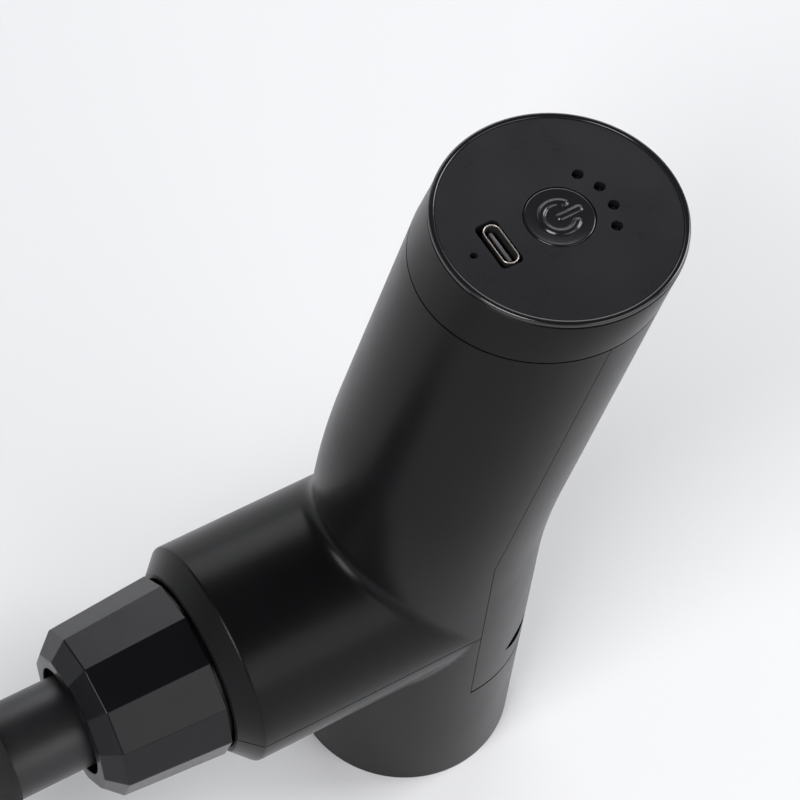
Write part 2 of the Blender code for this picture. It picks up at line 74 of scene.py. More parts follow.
X, Y, Z = 0, 1, 2
TILT = math.radians(14.75)
PLATE = middle("end_plate")
PLATE_TOP = span("end_plate", Z)[1]
CAP_SEAM, CAP_TOP = span("cap_band", Z)
LIP_SHIFT = 0.35 * MM           # the round lip sits this far behind the handle's axis
BEND_HEIGHT = CAP_TOP - (PLATE.x - LIP_SHIFT) / math.tan(TILT)
BEND_REACH = 15 * MM
BODY_RADIUS = span("base_shell", Y)[1]
BARREL_HEIGHT = middle("piston").z
COLLAR_FRONT, _ = span("nose_collar", X)
NOSE_END = span("upper_housing", X)[0]
COVER_BOTTOM = span("rear_cover", Z)[0]
BARREL_RADIUS = BODY_RADIUS - 0.1 * MM
print("handle leans from height", round(BEND_HEIGHT / MM, 2), "mm; barrel at",
      round(BARREL_HEIGHT / MM, 2), "mm")

# %% [markdown]
# ## The camera
# The gun is seen from above its barrel with a long lens, which keeps its round parts nearly
# free of perspective. The camera looks down at a point near the middle of the body.

# %% Aim the camera
LENS = 129.35
CAMERA_PLACE = Vector((-0.18062, -0.22560, 0.55151))
VIEW_AZIMUTH = math.radians(37.1206)
VIEW_DOWN = math.radians(56.8087)
VIEW_ROLL = math.radians(7.2871)


def add_camera():
    data = bpy.data.cameras.new("camera")
    data.lens = LENS
    data.sensor_width = 36
    data.clip_start = 0.01
    camera = bpy.data.objects.new("camera", data)
    bpy.context.scene.collection.objects.link(camera)
    turn = (Matrix.Rotation(-VIEW_AZIMUTH, 4, "Z")
            @ Matrix.Rotation(math.pi / 2 - VIEW_DOWN, 4, "X")
            @ Matrix.Rotation(VIEW_ROLL, 4, "Z"))
    camera.matrix_world = Matrix.Translation(CAMERA_PLACE) @ turn
    bpy.context.scene.camera = camera
    return camera


camera = add_camera()
print("camera looks along", [round(v, 4) for v in camera.matrix_world.to_3x3() @ Vector((0, 0, -1))])

# %% [markdown]
# ## Shader maths as plain expressions
# A material that changes over its surface needs sums of noises and masks. A small class wraps a
# socket, so that `grain * 0.2 + 0.4` adds the Math nodes for us.

# %% A socket that can be added and multiplied


class Sum:
    """A value socket in a material; its operators add Math nodes."""

    def __init__(self, tree, socket):
        self.tree = tree
        self.socket = socket

    def _math(self, operation, first, second):
        node = self.tree.nodes.new("ShaderNodeMath")
        node.operation = operation
        for place, value in enumerate((first, second)):
            if isinstance(value, Sum):
                self.tree.links.new(value.socket, node.inputs[place])
            else:
                node.inputs[place].default_value = value
        return Sum(self.tree, node.outputs[0])

    def __add__(self, other):
        return self._math("ADD", self, other)

    def __radd__(self, other):
        return self._math("ADD", other, self)

    def __mul__(self, other):
        return self._math("MULTIPLY", self, other)

    def __rmul__(self, other):
        return self._math("MULTIPLY", other, self)


class Finish:
    """One material under construction."""

    def __init__(self, name):
        self.material = bpy.data.materials.new(name)
        self.material.use_nodes = True
        self.tree = self.material.node_tree
        self.shader = self.tree.nodes["Principled BSDF"]
        self.place = self.node("ShaderNodeTexCoord").outputs["Object"]

    def node(self, kind, settings=None, **sockets):
        """Add any node: its settings first, then the values or links of its sockets."""
        node = self.tree.nodes.new(kind)
        for key, value in (settings or {}).items():
            setattr(node, key, value)
        for key, value in sockets.items():
            self.feed(node.inputs[key.replace("_", " ")], value)
        return node

    def feed(self, socket, value):
        if isinstance(value, Sum):
            self.tree.links.new(value.socket, socket)
        elif isinstance(value, bpy.types.NodeSocket):
            self.tree.links.new(value, socket)
        else:
            socket.default_value = value

    def noise(self, size, detail=2.0, roughness=0.5):
        """Noise from 0 to 1 whose blobs are about size metres across."""
        node = self.node("ShaderNodeTexNoise", Vector=self.place, Scale=1 / size,
                         Detail=detail, Roughness=roughness)
        return Sum(self.tree, node.outputs["Fac"])

    def cells(self, size):
        """Distance to the nearest of many scattered points, in cells."""
        node = self.node("ShaderNodeTexVoronoi", Vector=self.place, Scale=1 / size)
        return Sum(self.tree, node.outputs["Distance"])

    def band(self, value, low, high):
        """0 below low, 1 above high, smooth between."""
        node = self.node("ShaderNodeMapRange", {"interpolation_type": "SMOOTHSTEP"},
                         Value=value, From_Min=low, From_Max=high)
        return Sum(self.tree, node.outputs["Result"])

    def blend(self, factor, first, second):
        """A colour between two colours."""
        node = self.node("ShaderNodeMix", {"data_type": "RGBA"})
        self.feed(node.inputs[0], factor)
        self.feed(node.inputs[6], (*first, 1.0))
        self.feed(node.inputs[7], (*second, 1.0))
        return node.outputs[2]

    def bump(self, height, distance):
        """A surface direction that follows a height whose full range is distance metres."""
        node = self.node("ShaderNodeBump", Height=height, Distance=distance, Strength=1.0)
        return node.outputs["Normal"]

    def surface(self, **sockets):
        """Feed the shader's own sockets and hand back the finished material."""
        for key, value in sockets.items():
            self.feed(self.shader.inputs[key.replace("_", " ")], value)
        return self.material


print("shader helpers ready")

# %% [markdown]
# ## Satin black plastic
# The shells are moulded in black plastic with a very fine spark-eroded grain. It scatters light
# a little, so highlights are wide and soft. The grain is a bump far smaller than a millimetre,
# and slow noise makes the gloss slightly uneven, as handling does.

# %% The plastics


def satin_plastic(name, colour, rough, grain, specular, sheen=0.0):
    """Black plastic: rough is its smoothest and roughest, grain is a size and a height."""
    smoothest, roughest = rough
    grain_size, grain_height = grain
    finish = Finish(name)
    grit = finish.noise(grain_size, 3.0, 0.6)
    handling = finish.noise(14 * MM, 3.0, 0.55)
    lint = finish.noise(2.2 * MM, 2.0, 0.5)
    lighter = tuple(1.35 * part + 0.001 for part in colour)
    wear = finish.band(handling * 0.8 + lint * 0.2, 0.3, 0.7)
    return finish.surface(
        Base_Color=finish.blend(handling * 0.45 + grit * 0.25, colour, lighter),
        Roughness=smoothest + (roughest - smoothest) * wear + grit * 0.04,
        Specular_IOR_Level=specular,
        Sheen_Weight=sheen,
        Normal=finish.bump(grit, grain_height))


SHELL_GRAIN = (0.16 * MM, 0.004 * MM)
FINE_GRAIN = (0.12 * MM, 0.002 * MM)
HOUSING_BLACK = satin_plastic("housing_black", (0.0022, 0.0022, 0.0027), (0.26, 0.31), SHELL_GRAIN,
                              specular=0.15, sheen=0.03)
# painted shade: a near-black, nearly unreflecting finish for the air slots' inner faces, so the slots
# read dark
VENT_PAINTED_SHADE = satin_plastic("vent_black", (0.001, 0.001, 0.001), (0.80, 0.90), SHELL_GRAIN,
                           specular=0.05)
PLATE_BLACK = satin_plastic("plate_black", (0.010, 0.010, 0.0122), (0.25, 0.30),
                            (0.12 * MM, 0.003 * MM), specular=0.36)
COLLAR_BLACK = satin_plastic("collar_black", (0.003, 0.003, 0.004), (0.21, 0.26),
                             (0.16 * MM, 0.003 * MM), specular=0.24)
BUTTON_BLACK = satin_plastic("button_black", (0.007, 0.007, 0.0085), (0.13, 0.18), FINE_GRAIN,
                             specular=0.50)
LIP_BLACK = satin_plastic("lip_black", (0.004, 0.004, 0.0045), (0.12, 0.17), FINE_GRAIN,
                          specular=0.60)
STEM_BLACK = satin_plastic("stem_black", (0.006, 0.006, 0.007), (0.32, 0.40),
                           (0.22 * MM, 0.020 * MM), specular=0.50)
print("satin plastics:", HOUSING_BLACK.name, PLATE_BLACK.name, STEM_BLACK.name)

# %% [markdown]
# ## Outlines with soft corners
# Moulded and turned parts have no knife edges. We write an outline with its few true corners,
# and a helper replaces each corner by a small arc, the way a fillet tool does. A second group
# of helpers skins rings of points, turns an outline round an axis and cuts one piece with
# another. The last one says which body a piece rides and which plain solid it stands for.

# %% Outline and mesh helpers


def soften(outline, steps=4):
    """Replace each corner (a, b, radius) by an arc of that radius; returns (a, b) points."""
    points = []
    count = len(outline)
    for index in range(count):
        a, b, radius = outline[index]
        corner = np.array((a, b), float)
        if radius <= 0:
            points.append(corner)
            continue
        before = np.array(outline[index - 1][:2], float) - corner
        after = np.array(outline[(index + 1) % count][:2], float) - corner
        before /= np.linalg.norm(before)
        after /= np.linalg.norm(after)
        half = math.acos(max(-1.0, min(1.0, float(before @ after)))) / 2
        reach = radius / math.tan(half)
        inward = (before + after) / np.linalg.norm(before + after)
        centre = corner + inward * radius / math.sin(half)
        start = corner + before * reach - centre
        end = corner + after * reach - centre
        sweep = math.pi - 2 * half
        for step in range(steps + 1):
            t = step / steps
            arc = (math.sin((1 - t) * sweep) * start + math.sin(t * sweep) * end) / math.sin(sweep)
            points.append(centre + arc)
    return [(float(p[0]), float(p[1])) for p in points]


def circle(steps):
    """Cosine and sine of even steps round a circle."""
    turns = [2 * math.pi * n / steps for n in range(steps)]
    return [(math.cos(turn), math.sin(turn)) for turn in turns]


def ease(share):
    """A smooth step from 0 to 1 that starts and ends level."""
    return share * share * (3 - 2 * share)


def mesh_object(name, bm, material, smooth_angle=35):
    """Turn a bmesh into an object with outward faces, merged doubles and one material."""
    bmesh.ops.remove_doubles(bm, verts=bm.verts, dist=0.0005 * MM)
    bmesh.ops.recalc_face_normals(bm, faces=bm.faces)
    mesh = bpy.data.meshes.new(name)
    bm.to_mesh(mesh)
    bm.free()
    mesh.shade_smooth()
    mesh.set_sharp_from_angle(angle=math.radians(smooth_angle))
    mesh.materials.append(material)
    piece = bpy.data.objects.new(name, mesh)
    bpy.context.scene.collection.objects.link(piece)
    return piece


def skin(rings, closed):
    """Faces between equal rings of points; closed joins the last ring to the first."""
    bm = bmesh.new()
    loops = [[bm.verts.new(point) for point in ring] for ring in rings]
    pairs = list(zip(loops, loops[1:]))
    if closed:
        pairs.append((loops[-1], loops[0]))
    for lower, upper in pairs:
        for index in range(len(lower)):
            bm.faces.new((lower[index - 1], lower[index], upper[index], upper[index - 1]))
    if not closed:
        bm.faces.new(loops[0])
        bm.faces.new(loops[-1])
    return bm


def turned(outline, steps, centre=(0, 0, 0), turn=None):
    """Turn an outline of (radius, height) points round Z, then place it."""
    tiny = 0.001 * MM
    rings = [[Vector((max(radius, tiny) * cos, max(radius, tiny) * sin, height))
              for cos, sin in circle(steps)] for radius, height in outline]
    solid = outline[0][0] <= 0 and outline[-1][0] <= 0
    bm = skin(rings, closed=not solid)
    if turn is not None:
        bmesh.ops.rotate(bm, verts=bm.verts, cent=(0, 0, 0), matrix=turn)
    bmesh.ops.translate(bm, verts=bm.verts, vec=centre)
    return bm


def cut(piece, operation, bm):
    """Boolean a piece with a throw-away tool and apply it."""
    tool = mesh_object(piece.name + "_tool", bm, piece.data.materials[0])
    modifier = piece.modifiers.new("cut", "BOOLEAN")
    modifier.operation = operation
    modifier.object = tool
    modifier.solver = "EXACT"
    settle(piece)
    bpy.data.objects.remove(tool)
    return piece


def settle(piece):
    """Apply every modifier of a piece to its mesh."""
    graph = bpy.context.evaluated_depsgraph_get()
    mesh = bpy.data.meshes.new_from_object(piece.evaluated_get(graph))
    piece.modifiers.clear()
    piece.data = mesh


def broken_edges(piece, width, segments, angle):
    """Break a piece's sharp edges with a narrow bevel and keep its flats flat."""
    bevel = piece.modifiers.new("broken_edges", "BEVEL")
    bevel.width = width
    bevel.segments = segments
    bevel.limit_method = "ANGLE"
    bevel.angle_limit = math.radians(angle)
    bevel.harden_normals = True
    piece.data.shade_smooth()
    settle(piece)


def declare(piece, body, slot, *nodes):
    """Let a finished piece ride a body and stand for CAD nodes, which it hides; slot is not used."""
    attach(piece, body)
    if nodes:
        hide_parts(*nodes)
    return piece


ALONG_BARREL = Matrix.Rotation(-math.pi / 2, 3, "Y")
BARREL_START = Vector((0, 0, BARREL_HEIGHT))


def on_barrel(name, outline, steps, material):
    """Turn an outline of (radius, distance from the stub's axis) about the barrel's axis."""
    return mesh_object(name, turned(outline, steps, BARREL_START, ALONG_BARREL), material)


UNIT_SQUARE = [(0, 0, 0.1), (1, 0, 0.1), (1, 1, 0.1), (0, 1, 0.1)]
print("a softened square has", len(soften(UNIT_SQUARE)), "points")

# %% [markdown]
# ## The housing as one soft form
# Handle and stub are one bent bar, and the barrel grows out of it. Where the two meet, the real
# moulding has a soft hollow that fades out along the sides. A distance function describes that
# exactly: we take the distance to the bar and to the barrel, and blend the two only where
# their surfaces stand at an angle to each other. The mesh is a plain union whose points
# are then pulled onto the blended form.

# %% Distances to the bar, the barrel and the blend
BEND_RADIUS = BEND_REACH / math.tan(TILT / 2)
BEND_LOW = BEND_HEIGHT - BEND_REACH
CROTCH_SOFTNESS = 3.6 * MM


def bar_distance(p):
    """Signed distance from points to the bent bar's surface, and its direction."""
    x, y, z = p[:, 0], p[:, 1], p[:, 2]
    angle = np.arctan2(z - BEND_LOW, BEND_RADIUS - x)
    angle = np.clip(angle, 0.0, TILT)
    out_x, out_z = np.cos(angle), -np.sin(angle)
    foot_x = BEND_RADIUS - BEND_RADIUS * out_x
    foot_z = BEND_LOW - BEND_RADIUS * out_z
    across = (x - foot_x) * out_x + (z - foot_z) * out_z
    reach = np.sqrt(across ** 2 + y ** 2)
    normal = np.stack([across * out_x, y, across * out_z], 1) / reach[:, None]
    return reach - BODY_RADIUS, normal


def barrel_distance(p):
    """Signed distance from points to the barrel's surface, and its direction."""
    y, z = p[:, 1], p[:, 2] - BARREL_HEIGHT
    reach = np.sqrt(y ** 2 + z ** 2)
    normal = np.stack([np.zeros_like(y), y, z], 1) / np.maximum(reach, 1e-9)[:, None]
    return np.maximum(reach - BARREL_RADIUS, p[:, 0]), normal


def form_distance(p):
    """Distance to the blended form."""
    bar, bar_normal = bar_distance(p)
    barrel, barrel_normal = barrel_distance(p)
    turn = 1 - np.clip(np.sum(bar_normal * barrel_normal, 1), 0, 1)
    soft = CROTCH_SOFTNESS * turn + 1e-6
    overlap = np.maximum(soft - np.abs(bar - barrel), 0) / soft
    return np.minimum(bar, barrel) - overlap ** 2 * soft / 4


def form_normal(p):
    """The blended form's outward direction, by small differences."""
    step = 0.02 * MM
    slopes = []
    for axis in range(3):
        shift = np.zeros(3)
        shift[axis] = step
        slopes.append(form_distance(p + shift) - form_distance(p - shift))
    slopes = np.stack(slopes, 1)
    return slopes / np.linalg.norm(slopes, axis=1)[:, None]


print("the blend stands", round(CROTCH_SOFTNESS / 4 / MM, 2), "mm proud of a sharp inner corner")

# %% Build the union and pull it onto the blend
AROUND = 128
FOOT_EDGE = span("base_shell", Z)[0]
FINE_LOW, FINE_HIGH = 18 * MM, 105 * MM     # the barrel joins the bar between these heights
BLEND_LOW, BLEND_HIGH = BARREL_HEIGHT - 40 * MM, 115 * MM
FINE_PITCH = 1.2 * MM
WIDE_PITCH = 8 * MM
SHOULDER_LENGTH = 3.8 * MM
SHOULDER_DEPTH = 3.9 * MM


def bar_centre(height):
    """Centre, outward and upward directions of the bar's section near a height."""
    if height <= BEND_LOW:
        lean = 0.0
    else:
        lean = min(TILT, (height - BEND_LOW) / (2 * BEND_REACH) * TILT)
    out = Vector((math.cos(lean), 0, -math.sin(lean)))
    up = Vector((math.sin(lean), 0, math.cos(lean)))
    if height <= BEND_LOW:
        return Vector((0, 0, height)), out, up
    centre = Vector((BEND_RADIUS, 0, BEND_LOW)) - out * BEND_RADIUS
    beyond = max(0.0, height - BEND_LOW - 2 * BEND_REACH)
    return centre + up * beyond, out, up


def bar_ring(radius, height, steps):
    """The bar's round section near a height."""
    centre, out, _ = bar_centre(height)
    return [centre + out * radius * cos + Vector((0, radius * sin, 0)) for cos, sin in circle(steps)]


def bar_rings(radius, bottom, top, fine, steps):
    """Rings every fine metres where the barrel joins, and wider ones elsewhere."""
    heights = [bottom, bottom + 4 * MM]
    at = bottom + 10 * MM
    while at < top:
        heights.append(at)
        at += fine if FINE_LOW < at < FINE_HIGH else WIDE_PITCH
    heights.append(top)
    return [bar_ring(radius, height, steps) for height in heights]


def nose_outline():
    """The barrel's outer outline with its conical shoulder, from the stub axis outwards."""
    end = -NOSE_END
    shoulder = end - SHOULDER_LENGTH
    rim = BARREL_RADIUS - SHOULDER_DEPTH
    points = [(0, 0.0)]
    at = 0.0
    while at < shoulder - 4 * MM:
        points.append((BARREL_RADIUS, at))
        at += FINE_PITCH
    tail = soften([(BARREL_RADIUS, at, 0), (BARREL_RADIUS, shoulder, 0.9 * MM),
                   (rim, end, 0.5 * MM), (0, end, 0)], 6)
    return points + tail


def pull_to_form(mesh):
    """Move the union's points near the barrel's root onto the blended form."""
    count = len(mesh.vertices)
    p = np.zeros(count * 3)
    mesh.vertices.foreach_get("co", p)
    p = p.reshape(-1, 3)
    near = (p[:, 0] > NOSE_END + 8 * MM) & (p[:, 2] > BLEND_LOW) & (p[:, 2] < BLEND_HIGH)
    for _ in range(4):
        q = p[near]
        p[near] = q - form_distance(q)[:, None] * form_normal(q)
    mesh.vertices.foreach_set("co", p.ravel())
    mesh.update()
    return int(near.sum())


def housing_form():
    """The whole outer form as one closed mesh."""
    rings = bar_rings(BODY_RADIUS, FOOT_EDGE, CAP_TOP + 20 * MM, FINE_PITCH, AROUND)
    piece = mesh_object("housing_form", skin(rings, closed=False), HOUSING_BLACK)
    cut(piece, "UNION", turned(nose_outline(), AROUND, BARREL_START, ALONG_BARREL))
    moved = pull_to_form(piece.data)
    print("housing form:", len(piece.data.polygons), "faces,", moved, "points on the blend")
    return piece


HOUSING_FORM = housing_form()

# %% [markdown]
# ## Three shells with hairline seams
# The real housing is three mouldings: an upper housing, a base shell and a rear cover. We cut the
# form with blocks that follow the parting lines, hollow each shell, and leave a hairline between
# them. The outer faces then take their shading direction from the exact form.

# %% Cut the shells
SEAM_GAP = 0.15 * MM
COVER_GAP = 0.55 * MM
BARREL_GAP = 0.20 * MM
WALL = 2.2 * MM
HOLLOW_BOTTOM = 4.3 * MM        # the stub is solid up to this height
FRONT_HOLE = 18.0 * MM          # radius of the hole in the barrel's front
FRONT_WALL = 4.2 * MM
FAR = 80 * MM
SHARP_EDGE = math.radians(32)
ON_FORM = 0.03 * MM             # points nearer to the form than this lie on it
SAME_WAY = 0.93                 # cosine between two directions that count as one


def side_block(outline):
    """A wide block from an outline in the (x, z) plane."""
    rings = [[Vector((x, side, z)) for x, z in outline] for side in (-FAR / 2, FAR / 2)]
    return skin(rings, closed=False)


def handle_x(height):
    """Where the handle's axis stands at a height."""
    return (height - BEND_HEIGHT) * math.tan(TILT)


def regions():
    """Which stretch of the form each shell keeps, as an outline in the (x, z) plane."""
    half = SEAM_GAP / 2
    top = CAP_SEAM - SEAM_GAP - half
    level = BARREL_HEIGHT
    return {
        "upper_housing": [(-FAR, level + half), (-half, level + half), (-half, BEND_HEIGHT),
                          (handle_x(top) - half, top), (-FAR, top)],
        "rear_cover": [(half, COVER_BOTTOM + COVER_GAP), (FAR, COVER_BOTTOM + COVER_GAP), (FAR, top),
                       (handle_x(top) + half, top), (half, BEND_HEIGHT)],
        "base_shell": [(-FAR, -10 * MM), (FAR, -10 * MM), (FAR, COVER_BOTTOM - half),
                       (-half, COVER_BOTTOM - half), (-half, level - BARREL_GAP),
                       (-FAR, level - BARREL_GAP)],
    }


def exact_shading(piece):
    """Give faces that lie on the form the form's own normals."""
    mesh = piece.data
    mesh.shade_smooth()
    mesh.set_sharp_from_angle(angle=SHARP_EDGE)
    p = np.zeros(len(mesh.vertices) * 3)
    mesh.vertices.foreach_get("co", p)
    p = p.reshape(-1, 3)
    corner = np.zeros(len(mesh.loops) * 3)
    mesh.corner_normals.foreach_get("vector", corner)
    corner = corner.reshape(-1, 3)
    vertex = np.zeros(len(mesh.loops), int)
    mesh.loops.foreach_get("vertex_index", vertex)
    face_normal = np.zeros(len(mesh.polygons) * 3)
    mesh.polygons.foreach_get("normal", face_normal)
    face_normal = face_normal.reshape(-1, 3)
    sizes = np.zeros(len(mesh.polygons), int)
    mesh.polygons.foreach_get("loop_total", sizes)
    face = np.repeat(np.arange(len(sizes)), sizes)
    wanted = form_normal(p)
    on_form = (np.abs(form_distance(p)) < ON_FORM) & (p[:, 0] > NOSE_END + 5 * MM)
    facing = np.sum(face_normal[face] * wanted[vertex], 1) > SAME_WAY
    use = on_form[vertex] & facing
    corner[use] = wanted[vertex][use]
    mesh.normals_split_custom_set([tuple(n) for n in corner])
    return int(use.sum())


def make_shells():
    """Cut the form into its three shells and hollow each one."""
    shells = {}
    inner = BODY_RADIUS - WALL
    bore = inner - 0.2 * MM
    front = -NOSE_END
    barrel_inner = [(0, -1 * MM), (bore, -1 * MM), (bore, front - FRONT_WALL),
                    (FRONT_HOLE, front - FRONT_WALL), (FRONT_HOLE, front + 5 * MM),
                    (0, front + 5 * MM)]
    for name, outline in regions().items():
        piece = bpy.data.objects.new(name + "_skin", HOUSING_FORM.data.copy())
        bpy.context.scene.collection.objects.link(piece)
        cut(piece, "INTERSECT", side_block(outline))
        hollow = bar_rings(inner, HOLLOW_BOTTOM, CAP_TOP + 30 * MM, WIDE_PITCH, 64)
        cut(piece, "DIFFERENCE", skin(hollow, closed=False))
        cut(piece, "DIFFERENCE", turned(barrel_inner, 64, BARREL_START, ALONG_BARREL))
        shells[name] = piece
    bpy.data.objects.remove(HOUSING_FORM)
    return shells


SHELLS = make_shells()
print("shells:", {name: len(piece.data.polygons) for name, piece in SHELLS.items()})

# %% [markdown]
# ## The air slots
# Low on the rear cover, one to each side, sits a short slot with pointed ends. It is a leaf shape
# cut straight through the wall, and its inner faces get a matt near-black finish, painted shade, so that
# it reads as dark.

# %% Cut the air slots and finish the shells
VENT_HEIGHT = 42.0 * MM
VENT_HALF_LENGTH = 5.1 * MM
VENT_HALF_WIDTH = 2.1 * MM
VENT_SIDE_ANGLE = math.radians(56)


def leaf_outline(half_length, half_width, steps):
    """Points round a leaf with pointed ends, along Y and Z."""
    upper = []
    for step in range(steps + 1):
        share = -1 + 2 * step / steps
        upper.append((half_length * share, half_width * (1 - share ** 2)))
    return upper + [(y, -z) for y, z in reversed(upper[1:-1])]


def finish_shells():
    """Cut the slots, paint shade onto their inner faces in near-black, and hand the three shells over."""
    leaf = leaf_outline(VENT_HALF_LENGTH, VENT_HALF_WIDTH, 24)
    cover = SHELLS["rear_cover"]
    for side in (-1, 1):
        slot = skin([[Vector((x, y, z + VENT_HEIGHT)) for y, z in leaf]
                     for x in (15 * MM, 40 * MM)], closed=False)
        turn = Matrix.Rotation(side * VENT_SIDE_ANGLE, 3, "Z")
        bmesh.ops.rotate(slot, verts=slot.verts, cent=(0, 0, 0), matrix=turn)
        cut(cover, "DIFFERENCE", slot)
    # painted shade: the slots' inner faces take the near-black finish so each slot reads dark
    cover.data.materials.append(VENT_PAINTED_SHADE)
    centres = np.array([tuple(face.center) for face in cover.data.polygons])
    painted_shade_faces = ((np.abs(centres[:, 2] - VENT_HEIGHT) < VENT_HALF_WIDTH)
              & (form_distance(centres) < -0.05 * MM) & (centres[:, 0] > 3 * MM))
    cover.data.polygons.foreach_set("material_index", painted_shade_faces.astype(int))
    for name, piece in SHELLS.items():
        shaded = exact_shading(piece)
        declare(piece, "housing", "housing_plastic", name)
        print(name, "has", shaded, "corners with exact normals")


finish_shells()

# %% [markdown]
# ## The cap band
# A short ring closes the handle. Its top is level although the handle leans, so its
# side starts as a slice of a slanted round bar and ends as a true circle. A thin rounded lip
# runs round the top, with a fine step below it.

# %% Skin the cap band
CAP_STEPS = 160
PLATE_RIM = span("end_plate", Y)[1] + 0.55 * MM
LIP_DEPTH = 0.75 * MM           # faces this far below the top belong to the glossy lip


def level_ring(inset, height, steps):
    """The handle's slanted surface, set in by inset, where a level plane cuts it."""
    radius = BODY_RADIUS - inset
    centre = handle_x(height)
    round_x = radius / math.cos(TILT)
    return [Vector((centre + round_x * cos, radius * sin, height)) for cos, sin in circle(steps)]


def round_ring(radius, height, steps):
    """A true circle about the end plate's centre."""
    return [Vector((PLATE.x + radius * cos, radius * sin, height)) for cos, sin in circle(steps)]


def blended_ring(inset, height, steps):
    """Slides from the handle's slanted section at the seam to a true circle at the lip."""
    rise = ease(min(1.0, max(0.0, (height - CAP_SEAM) / (CAP_TOP - 1.5 * MM - CAP_SEAM))))
    slanted = level_ring(inset, height, steps)
    circle = round_ring(BODY_RADIUS - inset, height, steps)
    return [one.lerp(other, rise) for one, other in zip(slanted, circle)]


def make_cap_band():
    """Rings up the outside, over the lip, down to the plate's seat and back inside."""
    bottom = CAP_SEAM + 0.02 * MM
    seat = PLATE_TOP - 2.2 * MM
    outside = soften([(2.0 * MM, bottom, 0), (0, bottom, 0.14 * MM),
                      (0, CAP_TOP - 1.30 * MM, 0.10 * MM),
                      (0.30 * MM, CAP_TOP - 1.14 * MM, 0.08 * MM),
                      (0.30 * MM, CAP_TOP - 0.96 * MM, 0.08 * MM),
                      (0.04 * MM, CAP_TOP - 0.84 * MM, 0.08 * MM),
                      (0.04 * MM, CAP_TOP, 0.50 * MM), (1.2 * MM, CAP_TOP, 0)], 5)
    rings = [blended_ring(inset, height, CAP_STEPS) for inset, height in outside[:-1]]
    lip = soften([(PLATE_RIM + 0.6 * MM, CAP_TOP, 0), (PLATE_RIM, CAP_TOP - 0.08 * MM, 0.30 * MM),
                  (PLATE_RIM, seat, 0), (PLATE_RIM - 1.0 * MM, seat, 0)], 6)
    rings += [round_ring(radius, height, CAP_STEPS) for radius, height in lip[1:]]
    rings.append(level_ring(3.0 * MM, CAP_SEAM + 3 * MM, CAP_STEPS))
    rings.append(level_ring(2.4 * MM, bottom, CAP_STEPS))
    band = mesh_object("cap_band_skin", skin(rings, closed=True), HOUSING_BLACK, 30)
    band.data.materials.append(LIP_BLACK)
    for face in band.data.polygons:
        face.material_index = int(face.center.z > CAP_TOP - LIP_DEPTH)
    return declare(band, "housing", "housing_plastic", "cap_band")


cap_band = make_cap_band()
print("cap band:", len(cap_band.data.polygons), "faces")

# %% [markdown]
# ## The end plate
# The plate is a flat disc with a rounded edge and openings for the button, the lamps, the socket
# and one small hole. The openings are cut with the Boolean modifier, and a narrow Bevel breaks
# their edges, which is what makes each hole carry a bright rim.

# %% Cut and bevel the end plate
BUTTON_GAP_RADIUS = 6.5 * MM
LAMP_RADIUS = 10.0 * MM
LAMP_SPREAD = math.radians(78)
LAMP_HOLE = 1.08 * MM
USB = middle("usb_shell")
PIN_HOLE_X = PLATE.x - 17.5 * MM
PIN_HOLE = 0.68 * MM
PORT_SHIFT = 0.4 * MM           # the opening's middle is this far beside the port's
PORT_OPENING = (10.0 * MM, 4.5 * MM)
PORT_CORNER = 0.95 * MM


def rounded_slot(length, width, corner, steps=8):
    """A rectangle along Y with rounded corners, as (x, y) points."""
    half_x, half_y = width / 2, length / 2
    return soften([(half_x, -half_y, corner), (half_x, half_y, corner),
                   (-half_x, half_y, corner), (-half_x, -half_y, corner)], steps)


def upright(outline, centre, low, high):
    """A prism from (x, y) points between two heights."""
    return skin([[Vector((centre[0] + x, centre[1] + y, z)) for x, y in outline]
                 for z in (low, high)], closed=False)


def lamp_places():
    """Four even places on an arc round the button."""
    return [(PLATE.x + LAMP_RADIUS * math.cos(a), LAMP_RADIUS * math.sin(a))
            for a in (LAMP_SPREAD * (n / 3 - 0.5) for n in range(4))]


def disc(radius, low, high, centre, steps):
    """A round prism between two heights."""
    return upright([(radius * cos, radius * sin) for cos, sin in circle(steps)], centre, low, high)


def make_end_plate():
    """A disc with its openings cut and its edges broken."""
    bottom = PLATE_TOP - 1.8 * MM
    radius = PLATE_RIM - 0.08 * MM
    plate = mesh_object("end_plate_skin", disc(radius, bottom, PLATE_TOP, (PLATE.x, 0), CAP_STEPS),
                        PLATE_BLACK)
    below, above = bottom - 1 * MM, PLATE_TOP + 1 * MM
    cut(plate, "DIFFERENCE", disc(BUTTON_GAP_RADIUS, below, above, (PLATE.x, 0), 96))
    for place in lamp_places():
        cut(plate, "DIFFERENCE", disc(LAMP_HOLE, below, above, place, 40))
    cut(plate, "DIFFERENCE", disc(PIN_HOLE, below, above, (PIN_HOLE_X, 0), 32))
    opening = rounded_slot(*PORT_OPENING, PORT_CORNER)
    cut(plate, "DIFFERENCE", upright(opening, (USB.x - PORT_SHIFT, 0), below, above))
    broken_edges(plate, 0.22 * MM, 3, 50)
    return declare(plate, "housing", "plate_plastic", "end_plate")


end_plate = make_end_plate()
print("end plate:", len(end_plate.data.polygons), "faces")

# %% [markdown]
# ## The power button
# The button is a shallow dish with a low raised sign: a ring open on one side and a bar. The sign
# is part of the moulding, so its edges flow into the dish. A fine grid of rings makes the
# dish, and each point is lifted by a smooth height that falls off with distance from the sign's lines.

# %% Lift the sign out of the button's dish
SIGN_RING = 3.2 * MM
SIGN_OPENING = math.radians(44)
SIGN_HALF_WIDTH = 0.82 * MM
SIGN_HEIGHT = 0.42 * MM
BAR_START = 0.2 * MM
BAR_REACH = 3.9 * MM
DISH_RADIUS = 6.0 * MM
DISH_DEPTH = 0.30 * MM


